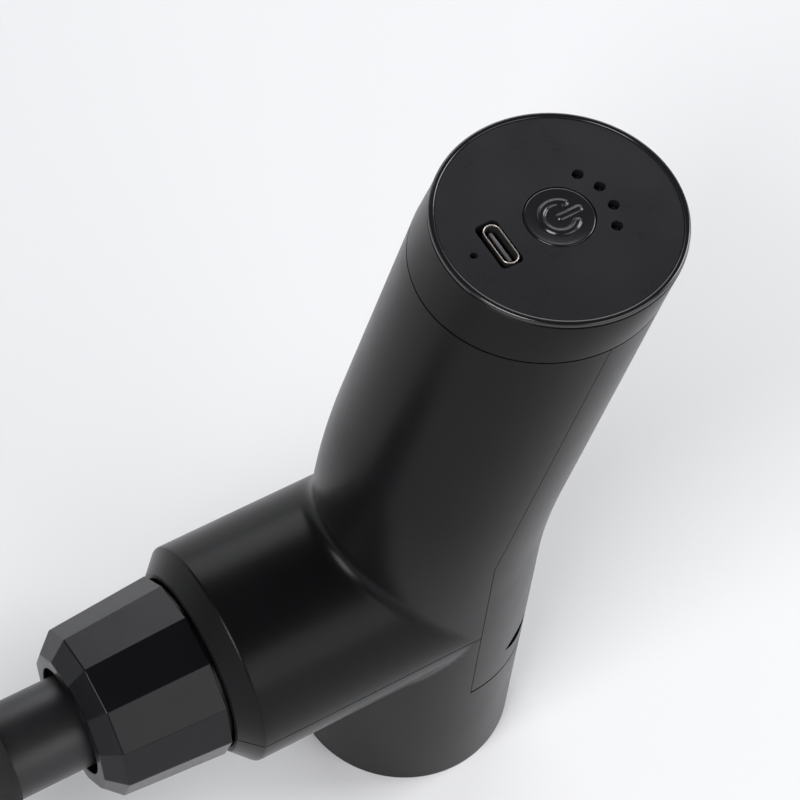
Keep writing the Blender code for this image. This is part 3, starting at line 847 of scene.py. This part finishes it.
def sign_distance(x, y):
    """Distance from a point of the button's face to the nearest line of the sign."""
    angle = math.atan2(y, x)
    radius = math.hypot(x, y)
    if abs(angle) > SIGN_OPENING:
        ring = abs(radius - SIGN_RING)
    else:
        end_x = SIGN_RING * math.cos(SIGN_OPENING)
        end_y = SIGN_RING * math.sin(SIGN_OPENING)
        ring = math.hypot(x - end_x, abs(y) - end_y)
    along = max(BAR_START, min(BAR_REACH, x))
    return min(ring, math.hypot(x - along, y))


def button_height(x, y):
    """The face's height above its edge: a dish, with the sign raised in it."""
    radius = math.hypot(x, y)
    dish = -DISH_DEPTH * math.cos(min(1.0, radius / DISH_RADIUS) * math.pi / 2) ** 0.8
    rise = max(0.0, 1 - (sign_distance(x, y) / SIGN_HALF_WIDTH) ** 2)
    return dish + SIGN_HEIGHT * ease(rise)


def make_button():
    """Rings up the rounded side, then rings inwards over the dish and the sign."""
    edge = BUTTON_GAP_RADIUS - 0.16 * MM
    face_edge = edge - 0.35 * MM
    around, rows = 144, 56
    top = PLATE_TOP + 0.02 * MM
    rings = [round_ring(edge, top - 2.3 * MM, around)]
    for inset, drop in ((0, 0.35), (0.03, 0.22), (0.10, 0.10), (0.20, 0.03)):
        rings.append(round_ring(edge - inset * MM, top - drop * MM, around))
    for row in range(rows):
        radius = max(face_edge * (1 - row / (rows - 1)), 0.01 * MM)
        points = [(radius * cos, radius * sin) for cos, sin in circle(around)]
        rings.append([Vector((PLATE.x + x, y, top + button_height(x, y))) for x, y in points])
    button = mesh_object("button_cap", skin(rings, closed=False), BUTTON_BLACK, 60)
    return declare(button, "button", "button_plastic", "power_button")


power_button = make_button()
print("button:", len(power_button.data.polygons), "faces")

# %% [markdown]
# ## The charging port
# Behind the rounded opening stands the port: a thin folded metal shell, open at the top, with a
# narrow tongue in it. The shell's mouth is a rounded rim, so it shows as one fine bright line.
# A black liner inside the shell and a black floor under the opening are painted shade, so the
# port's inside reads dark.
# Twelve contact strips lie on each side of the tongue. They repeat at an even pitch, so Geometry
# Nodes can place them: a line of points, one small strip on each, and a material.

# %% Fold the port's shell and lay its contacts
PORT_LENGTH = span("usb_shell", Y)[1] - span("usb_shell", Y)[0]
PORT_WIDTH = span("usb_shell", X)[1] - span("usb_shell", X)[0]
PORT_BASE = span("usb_shell", Z)[0]
PORT_MOUTH = PLATE_TOP - 0.12 * MM
PORT_WALL = 0.24 * MM
TONGUE_THICKNESS = 0.62 * MM
CONTACT_SIZE = (0.04 * MM, 0.24 * MM, 2.6 * MM)
CONTACT_PITCH = 0.5 * MM
CONTACTS = 12


def stadium(length, width, steps=14):
    """A slot outline with round ends, long along Y, as (x, y) points."""
    radius, reach = width / 2, (length - width) / 2
    points = []
    for side in (1, -1):
        for step in range(steps + 1):
            angle = (0 if side > 0 else math.pi) + math.pi * step / steps
            points.append((radius * math.cos(angle), side * reach + radius * math.sin(angle)))
    return points


def metal(name, colour, rough):
    """Worked metal with a fine grain and a slow stain."""
    finish = Finish(name)
    grain = finish.noise(0.3 * MM, 3.0, 0.6)
    stain = finish.noise(6 * MM, 2.0, 0.5)
    darker = tuple(0.72 * part for part in colour)
    return finish.surface(Base_Color=finish.blend(stain * 0.7 + grain * 0.3, colour, darker),
                          Metallic=1.0, Roughness=grain * 0.08 + stain * 0.06 + rough,
                          Normal=finish.bump(grain, 0.004 * MM))


def moulded(name, colour, rough):
    """Plain moulded plastic with a little grain and slow changes of shade."""
    finish = Finish(name)
    grain = finish.noise(0.25 * MM, 3.0, 0.6)
    wide = finish.noise(7 * MM, 2.0, 0.5)
    lighter = tuple(1.25 * part + 0.004 for part in colour)
    return finish.surface(Base_Color=finish.blend(wide * 0.6 + grain * 0.3, colour, lighter),
                          Roughness=grain * 0.08 + rough, Normal=finish.bump(grain, 0.006 * MM))


PORT_METAL = metal("port_metal", (0.62, 0.56, 0.53), 0.30)
CONTACT_GOLD = metal("contact_gold", (0.80, 0.62, 0.33), 0.22)
INSERT_GREY = moulded("insert_grey", (0.10, 0.10, 0.11), 0.30)
# painted shade: near-black matt plastic for the port's liner and floor, so the port's inside reads dark
PAINTED_SHADE_BLACK = moulded("insert_black", (0.002, 0.002, 0.002), 0.75)


def repeat_tree(name, **inputs):
    """A node tree with one geometry output and the given inputs."""
    tree = bpy.data.node_groups.new(name, "GeometryNodeTree")
    face = tree.interface
    face.new_socket("Geometry", in_out="OUTPUT", socket_type="NodeSocketGeometry")
    sockets = {key: face.new_socket(key, in_out="INPUT", socket_type="NodeSocket" + kind)
               for key, kind in inputs.items()}
    return tree, sockets, tree.nodes.new("NodeGroupInput").outputs


def repeat_in_line(name, unit, count, material, first, step):
    """Geometry Nodes: put count copies of a mesh object on a line of points."""
    tree, sockets, source = repeat_tree(name, Count="Int", First="Vector", Step="Vector")
    line = tree.nodes.new("GeometryNodeMeshLine")
    line.mode = "OFFSET"
    tree.links.new(source["Count"], line.inputs["Count"])
    tree.links.new(source["First"], line.inputs["Start Location"])
    tree.links.new(source["Step"], line.inputs["Offset"])
    values = {sockets["Count"]: count, sockets["First"]: first, sockets["Step"]: step}
    return finish_repeat(name, tree, line.outputs["Mesh"], None, material, unit, values)


def repeat_in_ring(name, unit, count, material, radius, centre):
    """Geometry Nodes: put count copies of a mesh object round a circle, each turned outwards."""
    tree, sockets, source = repeat_tree(name, Count="Int", Radius="Float", Centre="Vector")
    ring = tree.nodes.new("GeometryNodeMeshCircle")
    ring.fill_type = "NONE"
    tree.links.new(source["Count"], ring.inputs["Vertices"])
    tree.links.new(source["Radius"], ring.inputs["Radius"])
    index = tree.nodes.new("GeometryNodeInputIndex")
    share = tree.nodes.new("ShaderNodeMath")
    share.operation = "DIVIDE"
    tree.links.new(index.outputs["Index"], share.inputs[0])
    tree.links.new(source["Count"], share.inputs[1])
    angle = tree.nodes.new("ShaderNodeMath")
    angle.operation = "MULTIPLY"
    angle.inputs[1].default_value = 2 * math.pi
    tree.links.new(share.outputs[0], angle.inputs[0])
    spin = tree.nodes.new("ShaderNodeCombineXYZ")
    tree.links.new(angle.outputs[0], spin.inputs["Z"])
    move = tree.nodes.new("GeometryNodeTransform")
    tree.links.new(source["Centre"], move.inputs["Translation"])
    values = {sockets["Count"]: count, sockets["Radius"]: radius, sockets["Centre"]: centre}
    return finish_repeat(name, tree, ring.outputs["Mesh"], (spin.outputs["Vector"], move), material,
                         unit, values)


def finish_repeat(name, tree, points, ring, material, unit, values):
    """Instance, realise, set the material, and hand back one plain mesh object."""
    shape = tree.nodes.new("GeometryNodeObjectInfo")
    shape.inputs["Object"].default_value = unit
    copies = tree.nodes.new("GeometryNodeInstanceOnPoints")
    tree.links.new(points, copies.inputs["Points"])
    tree.links.new(shape.outputs["Geometry"], copies.inputs["Instance"])
    result = copies.outputs["Instances"]
    if ring:
        turn, move = ring
        tree.links.new(turn, copies.inputs["Rotation"])
        tree.links.new(result, move.inputs["Geometry"])
        result = move.outputs["Geometry"]
    solid = tree.nodes.new("GeometryNodeRealizeInstances")
    tree.links.new(result, solid.inputs["Geometry"])
    paint = tree.nodes.new("GeometryNodeSetMaterial")
    paint.inputs["Material"].default_value = material
    tree.links.new(solid.outputs["Geometry"], paint.inputs["Geometry"])
    sink = tree.nodes.new("NodeGroupOutput")
    tree.links.new(paint.outputs["Geometry"], sink.inputs["Geometry"])
    holder = mesh_object(name, bmesh.new(), material)
    modifier = holder.modifiers.new("repeat", "NODES")
    modifier.node_group = tree
    for socket, value in values.items():
        modifier[socket.identifier] = value
    settle(holder)
    bpy.data.objects.remove(unit)
    return holder


def block(name, size, material, bevel=0.0):
    """A box about the origin with softened edges."""
    bm = bmesh.new()
    bmesh.ops.create_cube(bm, size=1)
    bmesh.ops.scale(bm, vec=Vector(size), verts=bm.verts)
    if bevel > 0:
        bmesh.ops.bevel(bm, geom=bm.edges[:], offset=bevel, segments=2, affect="EDGES", profile=0.5)
    return mesh_object(name, bm, material)


def port_tube(name, profile, material):
    """A stadium-shaped tube whose wall follows a profile of (inset, height)."""
    rings = []
    for inset, height in profile:
        outline = stadium(PORT_LENGTH - 2 * inset, PORT_WIDTH - 2 * inset)
        rings.append([Vector((USB.x + x, y, height)) for x, y in outline])
    return mesh_object(name, skin(rings, closed=False), material, 50)


def make_port_shell():
    """The folded shell with its round rim, and a black liner just inside its mouth: painted shade that
    keeps the inside dark.
    """
    shell = soften([(0, PORT_BASE, 0), (0, PORT_MOUTH, 0.10 * MM), (PORT_WALL, PORT_MOUTH, 0.10 * MM),
                    (PORT_WALL, PORT_BASE + 0.8 * MM, 0)], 4)
    declare(port_tube("port_shell", shell, PORT_METAL), "housing", "port_metal", "usb_shell")
    # painted shade: a black liner over the shell's inner metal wall keeps the port's inside dark
    near, far = PORT_WALL + 0.01 * MM, PORT_WALL + 0.10 * MM
    rim = PORT_MOUTH - 0.30 * MM
    liner = soften([(near, PORT_BASE + 0.85 * MM, 0), (near, rim, 0.03 * MM), (far, rim, 0.03 * MM),
                    (far, PORT_MOUTH - 3.2 * MM, 0)], 3)
    declare(port_tube("port_liner", liner, PAINTED_SHADE_BLACK), "housing", "black_insert")


def make_port_tongue():
    """The tongue, with a line of contact strips on each side of it."""
    low, high = span("usb_tongue", Z)
    half = span("usb_tongue", Y)[1]
    tongue = block("port_tongue", (TONGUE_THICKNESS, 2 * half, high - low), INSERT_GREY, 0.08 * MM)
    tongue.data.transform(Matrix.Translation((USB.x, 0, (low + high) / 2)))
    declare(tongue, "housing", "black_insert", "usb_tongue")
    face = TONGUE_THICKNESS / 2 + 0.015 * MM
    for side, word in ((-1, "left"), (1, "right")):
        first = (USB.x + side * face, -(CONTACTS - 1) / 2 * CONTACT_PITCH, high - 1.6 * MM)
        strips = repeat_in_line("port_contacts_" + word, block("strip", CONTACT_SIZE, CONTACT_GOLD),
                                CONTACTS, CONTACT_GOLD, first, (0, CONTACT_PITCH, 0))
        declare(strips, "housing", "port_metal")


def make_port_painted_shade_floor():
    """A black floor under the opening, a little wider than it: painted shade that keeps the recess dark.
    """
    length, width = PORT_OPENING
    outline = rounded_slot(length + 0.2 * MM, width + 0.2 * MM, PORT_CORNER)
    # painted shade: this near-black plate stands where the recess is only in shade
    painted_shade_floor_plate = upright(outline, (USB.x - PORT_SHIFT, 0), PORT_BASE - 0.05 * MM, PORT_BASE + 0.3 * MM)
    declare(mesh_object("port_floor", painted_shade_floor_plate, PAINTED_SHADE_BLACK), "housing", "black_insert")


make_port_shell()
make_port_tongue()
make_port_painted_shade_floor()
print("port: 1 shell, 1 tongue,", 2 * CONTACTS, "contacts")

# %% [markdown]
# ## The battery lamps
# Under each of the four holes stands a smoked light pipe. Its top is a small dome that sits deep
# in the hole, so from outside the holes read black until a lamp is lit.

# %% Dome the light pipes


def smoked_lens():
    """Dark clear plastic with a little haze."""
    finish = Finish("smoked_lens")
    haze = finish.noise(0.6 * MM, 2.0, 0.5)
    return finish.surface(Base_Color=finish.blend(haze, (0.004, 0.004, 0.005), (0.012, 0.012, 0.013)),
                          Roughness=haze * 0.10 + 0.10, Specular_IOR_Level=0.35)


SMOKED = smoked_lens()
PIPE_RADIUS = 0.85 * MM


def make_lenses():
    """One domed light pipe for each hole."""
    for number, (x, y) in enumerate(lamp_places(), 1):
        node = f"led_lens_{number}"
        low, high = span(node, Z)
        outline = soften([(0, low, 0), (PIPE_RADIUS, low, 0.1 * MM), (PIPE_RADIUS, high, 0.45 * MM),
                          (0, high + 0.12 * MM, 0)], 5)
        pipe = mesh_object(f"light_pipe_{number}", turned(outline, 32, (x, y, 0)), SMOKED, 40)
        declare(pipe, "housing", "lamp_lens", node)


make_lenses()
print("light pipes: 4")

# %% [markdown]
# ## The nose collar
# A twelve-sided tapered collar covers the guide. We loft its sections as true polygons, cut
# its round bore, and let a narrow Bevel catch the light along every edge. A spigot behind it
# centres it in the barrel, and a thin lip in its mouth wipes the stem.

# %% Loft the collar
COLLAR_SIDES = 12
COLLAR_REAR = 53.3 * MM
COLLAR_WAIST = 74.6 * MM        # where the long taper ends and the short one starts
COLLAR_SECTIONS = ((18.9 * MM, COLLAR_REAR), (17.4 * MM, COLLAR_WAIST), (14.0 * MM, -COLLAR_FRONT))
COLLAR_BORE = 11.1 * MM
COLLAR_HOLLOW = 13.5 * MM
HOLLOW_END = 72.3 * MM
SPIGOT_RADIUS = 17.2 * MM
SPIGOT_REAR = 48.2 * MM
WIPER_RADIUS = 9.75 * MM
WIPER_REAR, WIPER_FRONT = 73.2 * MM, 75.6 * MM


def make_collar_body():
    """The faceted body, bored through and with its edges broken."""
    rings = [[Vector((-height, radius * sin, BARREL_HEIGHT + radius * cos))
              for cos, sin in circle(COLLAR_SIDES)] for radius, height in COLLAR_SECTIONS]
    collar = mesh_object("nose_collar_skin", skin(rings, closed=False), COLLAR_BLACK)
    behind, ahead = 40 * MM, 90 * MM
    bore = [(0, behind), (COLLAR_HOLLOW, behind), (COLLAR_HOLLOW, HOLLOW_END),
            (COLLAR_BORE, HOLLOW_END), (COLLAR_BORE, ahead), (0, ahead)]
    cut(collar, "DIFFERENCE", turned(bore, 96, BARREL_START, ALONG_BARREL))
    broken_edges(collar, 0.22 * MM, 2, 20)
    return collar


def make_collar():
    """The collar with its spigot and its wiper lip."""
    collar = make_collar_body()
    step = COLLAR_REAR - 0.02 * MM
    spigot = soften([(COLLAR_HOLLOW, SPIGOT_REAR, 0), (SPIGOT_RADIUS, SPIGOT_REAR, 0.3 * MM),
                     (SPIGOT_RADIUS, step, 0), (COLLAR_HOLLOW, step, 0)])
    root = COLLAR_BORE + 0.2 * MM
    wiper = soften([(WIPER_RADIUS, WIPER_REAR, 0.2 * MM), (root, WIPER_REAR, 0),
                    (root, WIPER_FRONT, 0), (WIPER_RADIUS, WIPER_FRONT - 0.8 * MM, 0.35 * MM)])
    for piece in (collar, on_barrel("collar_spigot", spigot, 96, COLLAR_BLACK),
                  on_barrel("stem_wiper", wiper, 96, LIP_BLACK)):
        declare(piece, "housing", "collar_plastic", "nose_collar")
    return collar


nose_collar = make_collar()
print("collar:", len(nose_collar.data.polygons), "faces")

# %% [markdown]
# ## The massage head
# The stem is a plain round pin with a fine grain, and the ball on its end is soft closed-cell
# foam. Both are turned about the barrel's axis, and the ball keeps the low moulding line that
# such balls have round their middle.

# %% Turn the stem and the ball
STEM_RADIUS = span("head_stem", Y)[1]
STEM_REAR, STEM_FRONT = 51.7 * MM, 105.7 * MM
SEAL_RADIUS = 8.0 * MM          # the bottom of the groove that holds the stem's seal
SEAL_REAR, SEAL_FRONT = 58.0 * MM, 60.0 * MM
BALL_RADIUS = span("head_ball", Y)[1]
BALL_CENTRE = -span("head_ball", X)[0] - BALL_RADIUS
BALL_SKIN = 0.15 * MM           # the foam's plain surface stays this far inside the ball's solid
MOULDING_LINE = 0.12 * MM
MOULDING_LINE_WIDTH = 0.35 * MM


def foam_rubber():
    """Closed-cell foam: matt, dark, with fine pores."""
    finish = Finish("head_foam")
    pores = finish.cells(0.55 * MM)
    soft = finish.noise(0.35 * MM, 3.0, 0.6)
    wide = finish.noise(9 * MM, 2.0, 0.5)
    tint = finish.blend(pores * 0.5 + wide * 0.4, (0.006, 0.006, 0.0065), (0.016, 0.016, 0.017))
    height = finish.band(pores, 0.05, 0.55) * 0.7 + soft * 0.3
    return finish.surface(Base_Color=tint, Roughness=0.72 + wide * 0.12,
                          Specular_IOR_Level=0.35, Normal=finish.bump(height, 0.05 * MM))


HEAD_FOAM = foam_rubber()


def stem_outline():
    """The stem from its end in the socket to its end inside the ball."""
    return soften([(0, STEM_REAR, 0), (STEM_RADIUS, STEM_REAR, 0.5 * MM),
                   (STEM_RADIUS, SEAL_REAR, 0.1 * MM), (SEAL_RADIUS, SEAL_REAR, 0),
                   (SEAL_RADIUS, SEAL_FRONT, 0), (STEM_RADIUS, SEAL_FRONT, 0.1 * MM),
                   (STEM_RADIUS, STEM_FRONT, 0.3 * MM), (0, STEM_FRONT, 0)])


def ball_outline():
    """The ball from the mouth of its hole round to its pole, then back along the hole."""
    hole = STEM_RADIUS + 0.12 * MM
    mouth = math.asin((hole + 0.5 * MM) / BALL_RADIUS)
    outline = []
    steps = 80
    for step in range(steps + 1):
        angle = -math.pi / 2 + mouth + (math.pi - mouth) * step / steps
        line = MOULDING_LINE * math.exp(-(angle * BALL_RADIUS / MOULDING_LINE_WIDTH) ** 2)
        radius = BALL_RADIUS - BALL_SKIN + line
        outline.append((radius * math.cos(angle), BALL_CENTRE + radius * math.sin(angle)))
    outline[-1] = (0, outline[-1][1])
    bottom = STEM_FRONT + 0.2 * MM
    lead_in = BALL_CENTRE - BALL_RADIUS * math.cos(mouth) + 0.6 * MM
    return outline + [(0, bottom), (hole, bottom), (hole, lead_in)]


def make_head():
    """The stem and the ball, both riding the head."""
    stem = on_barrel("head_stem_skin", stem_outline(), 96, STEM_BLACK)
    ball = on_barrel("head_ball_skin", ball_outline(), 128, HEAD_FOAM)
    declare(stem, "head", "stem_plastic", "head_stem")
    declare(ball, "head", "head_foam", "head_ball")
    return ball


head_ball = make_head()
print("ball:", len(head_ball.data.polygons), "faces")

# %% [markdown]
# ## The rubber foot
# The gun stands on a rubber disc. Moulded ribs run round it so that it grips, and a ring of small
# studs near its edge keeps the rubber from sucking onto a smooth table.

# %% Turn the foot and stud it
FOOT_RADIUS = span("foot_pad", Y)[1]
FOOT_TOP = span("foot_pad", Z)[1]
RIBS = 5
RIB_PITCH = 2.6 * MM
RIB_FACE = 0.02 * MM            # the ribs end this far above the table
RIB_ROOT = 0.30 * MM
STUDS = 60
STUD_RING = FOOT_RADIUS - 0.57 * MM


def rubber():
    """Dull rubber with dust in its grain."""
    finish = Finish("foot_rubber")
    dust = finish.noise(1.4 * MM, 4.0, 0.65)
    skin_grain = finish.noise(0.2 * MM, 2.0, 0.5)
    tint = finish.blend(finish.band(dust, 0.45, 0.75), (0.010, 0.010, 0.010), (0.024, 0.023, 0.022))
    return finish.surface(Base_Color=tint, Roughness=dust * 0.15 + 0.62,
                          Specular_IOR_Level=0.3, Normal=finish.bump(skin_grain, 0.01 * MM))


RUBBER = rubber()


def make_foot():
    """A turned disc with ribs under it, and a ring of studs round them."""
    outline = [(0, FOOT_TOP, 0), (FOOT_RADIUS, FOOT_TOP, 0), (FOOT_RADIUS, RIB_ROOT, 0.25 * MM)]
    soft = 0.08 * MM
    for rib in range(RIBS):
        outer = FOOT_RADIUS - 1.0 * MM - RIB_PITCH * rib
        outline += [(outer, RIB_ROOT, soft), (outer - 0.15 * MM, RIB_FACE, soft),
                    (outer - 1.2 * MM, RIB_FACE, soft), (outer - 1.35 * MM, RIB_ROOT, soft)]
    outline.append((0, RIB_ROOT, 0))
    pad = mesh_object("foot_rubber", turned(soften(outline, 3), 96), RUBBER, 40)
    declare(pad, "housing", "rubber", "foot_pad")
    stud = soften([(0, 0, 0), (0.32 * MM, 0, 0.1 * MM), (0.42 * MM, 0.35 * MM, 0), (0, 0.35 * MM, 0)], 3)
    studs = repeat_in_ring("foot_studs", mesh_object("stud", turned(stud, 16), RUBBER), STUDS, RUBBER,
                           STUD_RING, (0, 0, RIB_FACE))
    declare(studs, "housing", "rubber")
    return pad


foot = make_foot()
print("foot:", len(foot.data.polygons), "faces and", STUDS, "studs")

# %% [markdown]
# ## The bearings
# Three ball bearings carry the drive: two on the motor's shaft and one in the rod's big end. Each
# is an outer race, an inner race and a ring of balls in a track. The balls repeat, so Geometry Nodes
# sets one ball on each point of a circle.

# %% Build the ball bearings
STEEL = metal("bright_steel", (0.58, 0.58, 0.60), 0.22)
DARK_STEEL = metal("dark_steel", (0.30, 0.30, 0.31), 0.34)


# node: the body it rides, its number of balls, and its bore as a share of its outside
BEARINGS = {"motor_bearing_lower": ("housing", 8, 0.42),
            "motor_bearing_upper": ("housing", 8, 0.42),
            "crank_bearing": ("rod", 9, 0.5)}


def make_bearing(node, body, balls, bore):
    """Two races and a ring of balls inside the plain bearing's box."""
    low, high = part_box(node)
    centre = (low + high) / 2
    outer = (high.x - low.x) / 2
    height = high.z - low.z
    inner = outer * bore
    track = (outer + inner) / 2
    ball = min((outer - inner) * 0.28, height * 0.36)
    wall = (outer - inner) * 0.27
    lip = min(0.2 * MM, wall * 0.3)
    for number, (near, far) in enumerate(((outer - wall, outer), (inner, inner + wall)), 1):
        race = soften([(near, low.z, lip), (far, low.z, lip), (far, high.z, lip), (near, high.z, lip)], 3)
        piece = mesh_object(f"{node}_race_{number}", turned(race, 64, (centre.x, centre.y, 0)), STEEL)
        declare(piece, body, "steel", node)
    bm = bmesh.new()
    bmesh.ops.create_uvsphere(bm, u_segments=20, v_segments=12, radius=ball)
    ring = repeat_in_ring(node + "_balls", mesh_object("ball", bm, STEEL), balls, STEEL,
                          track, tuple(centre))
    declare(ring, body, "steel", node)


for node, (body, balls, bore) in BEARINGS.items():
    make_bearing(node, body, balls, bore)
print("bearings:", len(BEARINGS))

# %% [markdown]
# ## Finishes for the inner pieces
# The rest of the model keeps its own shapes and gets real surfaces: wrapped cells, a lacquered
# circuit board, laminated and plain steel, oiled bronze, cast aluminium and enamelled copper.
# Each finish is a small procedural recipe, so no two of them are the same plain colour.

# %% Mix the finishes and hand them out


def cell_wrap():
    """Shrink-wrapped film, slightly wrinkled and faded."""
    finish = Finish("cell_wrap")
    wrinkle = finish.noise(2.5 * MM, 4.0, 0.6)
    fade = finish.noise(18 * MM, 1.0, 0.5)
    return finish.surface(Base_Color=finish.blend(fade, (0.02, 0.12, 0.22), (0.03, 0.17, 0.30)),
                          Roughness=wrinkle * 0.12 + 0.24, Coat_Weight=0.3,
                          Normal=finish.bump(wrinkle, 0.03 * MM))


def board_lacquer():
    """Green lacquer over copper tracks and a glass weave."""
    finish = Finish("board_lacquer")
    bricks = finish.node("ShaderNodeTexBrick", Vector=finish.place, Scale=1 / (4 * MM),
                         Mortar_Size=0.035, Brick_Width=1.3, Row_Height=0.5)
    tracks = Sum(finish.tree, bricks.outputs["Fac"])
    weave = finish.noise(0.6 * MM, 2.0, 0.5)
    tint = finish.blend(tracks * 0.8 + weave * 0.1, (0.006, 0.055, 0.020), (0.020, 0.130, 0.050))
    return finish.surface(Base_Color=tint, Roughness=weave * 0.1 + 0.28, Coat_Weight=0.4,
                          Normal=finish.bump(tracks, 0.02 * MM))


def laminated_steel():
    """A stack of thin steel sheets."""
    finish = Finish("laminated_steel")
    wave = finish.node("ShaderNodeTexWave", {"bands_direction": "Z"}, Vector=finish.place,
                       Scale=1 / (3.2 * MM), Distortion=0.2, Detail=1.0)
    sheets = Sum(finish.tree, wave.outputs["Fac"])
    rust = finish.noise(3 * MM, 3.0, 0.6)
    return finish.surface(Base_Color=finish.blend(sheets, (0.10, 0.10, 0.105), (0.32, 0.32, 0.33)),
                          Metallic=0.9, Roughness=rust * 0.2 + 0.35,
                          Normal=finish.bump(sheets, 0.05 * MM))


def wound_copper():
    """Layers of enamelled wire."""
    finish = Finish("wound_copper")
    wave = finish.node("ShaderNodeTexWave", {"bands_direction": "Z"}, Vector=finish.place,
                       Scale=1 / (2.2 * MM), Distortion=1.2, Detail=2.0, Detail_Scale=2.0)
    turns = Sum(finish.tree, wave.outputs["Fac"])
    shade = finish.noise(4 * MM, 2.0, 0.5)
    return finish.surface(Base_Color=finish.blend(shade, (0.42, 0.13, 0.04), (0.62, 0.24, 0.09)),
                          Metallic=0.85, Roughness=shade * 0.15 + 0.24,
                          Normal=finish.bump(turns, 0.12 * MM))


def oiled_bronze():
    """Sintered bronze with pores and oil stains."""
    finish = Finish("oiled_bronze")
    pores = finish.cells(0.35 * MM)
    stain = finish.noise(5 * MM, 3.0, 0.55)
    return finish.surface(Base_Color=finish.blend(stain, (0.36, 0.20, 0.08), (0.50, 0.31, 0.14)),
                          Metallic=0.95, Roughness=stain * 0.15 + 0.30,
                          Normal=finish.bump(finish.band(pores, 0.0, 0.3), 0.01 * MM))


def cast_aluminium():
    """Die-cast metal with a coarse skin."""
    finish = Finish("cast_aluminium")
    grain = finish.noise(0.5 * MM, 3.0, 0.6)
    wide = finish.noise(8 * MM, 2.0, 0.5)
    return finish.surface(Base_Color=finish.blend(wide, (0.52, 0.53, 0.54), (0.66, 0.67, 0.68)),
                          Metallic=1.0, Roughness=grain * 0.15 + 0.38,
                          Normal=finish.bump(grain, 0.02 * MM))


INNER_PLASTIC = moulded("inner_plastic", (0.030, 0.030, 0.032), 0.48)
FINISHES = {
    cell_wrap(): ("battery_cell_1", "battery_cell_2"),
    board_lacquer(): ("circuit_board",),
    laminated_steel(): ("stator_core",),
    wound_copper(): ("stator_winding",),
    oiled_bronze(): ("guide_bush",),
    cast_aluminium(): ("connecting_rod",),
    metal("magnet_skin", (0.16, 0.16, 0.17), 0.40): ("magnet_ring",),
    STEEL: ("crank_pin", "motor_shaft", "wrist_pin", "piston"),
    DARK_STEEL: ("crank_disc", "rotor_can", "base_screw_1", "base_screw_2", "base_screw_3",
                 "board_screw_1", "board_screw_2"),
    INNER_PLASTIC: ("battery_cradle_lower", "battery_cradle_upper", "motor_mount", "nose_carrier"),
    moulded("switch_body", (0.012, 0.012, 0.012), 0.35): ("tact_switch",),
    moulded("lamp_chip", (0.70, 0.66, 0.42), 0.30): ("led_chip_1", "led_chip_2", "led_chip_3",
                                                     "led_chip_4"),
    RUBBER: ("stem_seal",),
}


def hand_out():
    """Give each plain piece its finish."""
    for material, nodes in FINISHES.items():
        for node in nodes:
            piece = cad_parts[node]
            piece.data.materials.clear()
            piece.data.materials.append(material)


hand_out()
print("inner finishes:", len(FINISHES))

# %% [markdown]
# ## Light and floor
# The gun stands on pale paper under a soft sky that is bright near the horizon and dim overhead.
# Four large window lamps stand round it and draw the long soft highlights on the black plastic.
# One even surround would be simpler, but it would turn every black surface the same flat grey.

# %% Set the stage


def add_floor():
    """A square of pale paper, which is scenery and not part of the gun."""
    half = 1.3
    mesh = bpy.data.meshes.new("floor")
    mesh.from_pydata([(-half, -half, 0), (half, -half, 0), (half, half, 0), (-half, half, 0)],
                     [], [(0, 1, 2, 3)])
    floor = bpy.data.objects.new("floor", mesh)
    bpy.context.scene.collection.objects.link(floor)
    finish = Finish("floor_paper")
    mesh.materials.append(finish.surface(Base_Color=(0.76, 0.76, 0.775, 1.0), Roughness=0.9,
                                         Specular_IOR_Level=0.2))


def add_window(name, place, size, power, colour):
    """A rectangular lamp that faces a point just above the gun's foot."""
    data = bpy.data.lights.new(name, "AREA")
    data.shape = "RECTANGLE"
    data.size, data.size_y = size
    data.energy = power
    data.color = colour
    lamp = bpy.data.objects.new(name, data)
    bpy.context.scene.collection.objects.link(lamp)
    direction = LIT_POINT - Vector(place)
    lamp.matrix_world = (Matrix.Translation(place)
                         @ direction.to_track_quat("-Z", "Y").to_matrix().to_4x4())


def set_surround(at_horizon, overhead, colour):
    """A sky that is bright at the horizon and dim overhead, like a pale sweep in a dark room."""
    world = bpy.data.worlds.new("studio")
    world.use_nodes = True
    tree = world.node_tree
    place = tree.nodes.new("ShaderNodeTexCoord")
    split = tree.nodes.new("ShaderNodeSeparateXYZ")
    fade = tree.nodes.new("ShaderNodeMapRange")
    fade.interpolation_type = "SMOOTHSTEP"
    fade.inputs["From Min"].default_value = 0.05
    fade.inputs["From Max"].default_value = 0.45
    fade.inputs["To Min"].default_value = at_horizon
    fade.inputs["To Max"].default_value = overhead
    tree.links.new(place.outputs["Generated"], split.inputs[0])
    tree.links.new(split.outputs["Z"], fade.inputs["Value"])
    background = tree.nodes["Background"]
    background.inputs["Color"].default_value = (*colour, 1)
    tree.links.new(fade.outputs["Result"], background.inputs["Strength"])
    bpy.context.scene.world = world


LIT_POINT = Vector((0, 0, 0.05))
WHITE = (1.0, 1.0, 1.0)
COOL_WHITE = (0.97, 0.98, 1.0)
SKY = (0.96, 0.98, 1.0)
add_floor()
set_surround(1.1, 0.10, SKY)
add_window("window_left", (-1.15, -0.45, 1.20), (0.9, 0.8), 20.0, WHITE)
add_window("window_far", (0.70, 1.25, 0.90), (1.5, 0.8), 11.0, COOL_WHITE)
add_window("window_right", (1.50, -0.25, 0.90), (1.0, 0.9), 22.0, WHITE)
add_window("window_front", (0.45, -1.25, 0.75), (1.3, 0.8), 7.0, WHITE)
bpy.context.scene.view_settings.view_transform = "Standard"
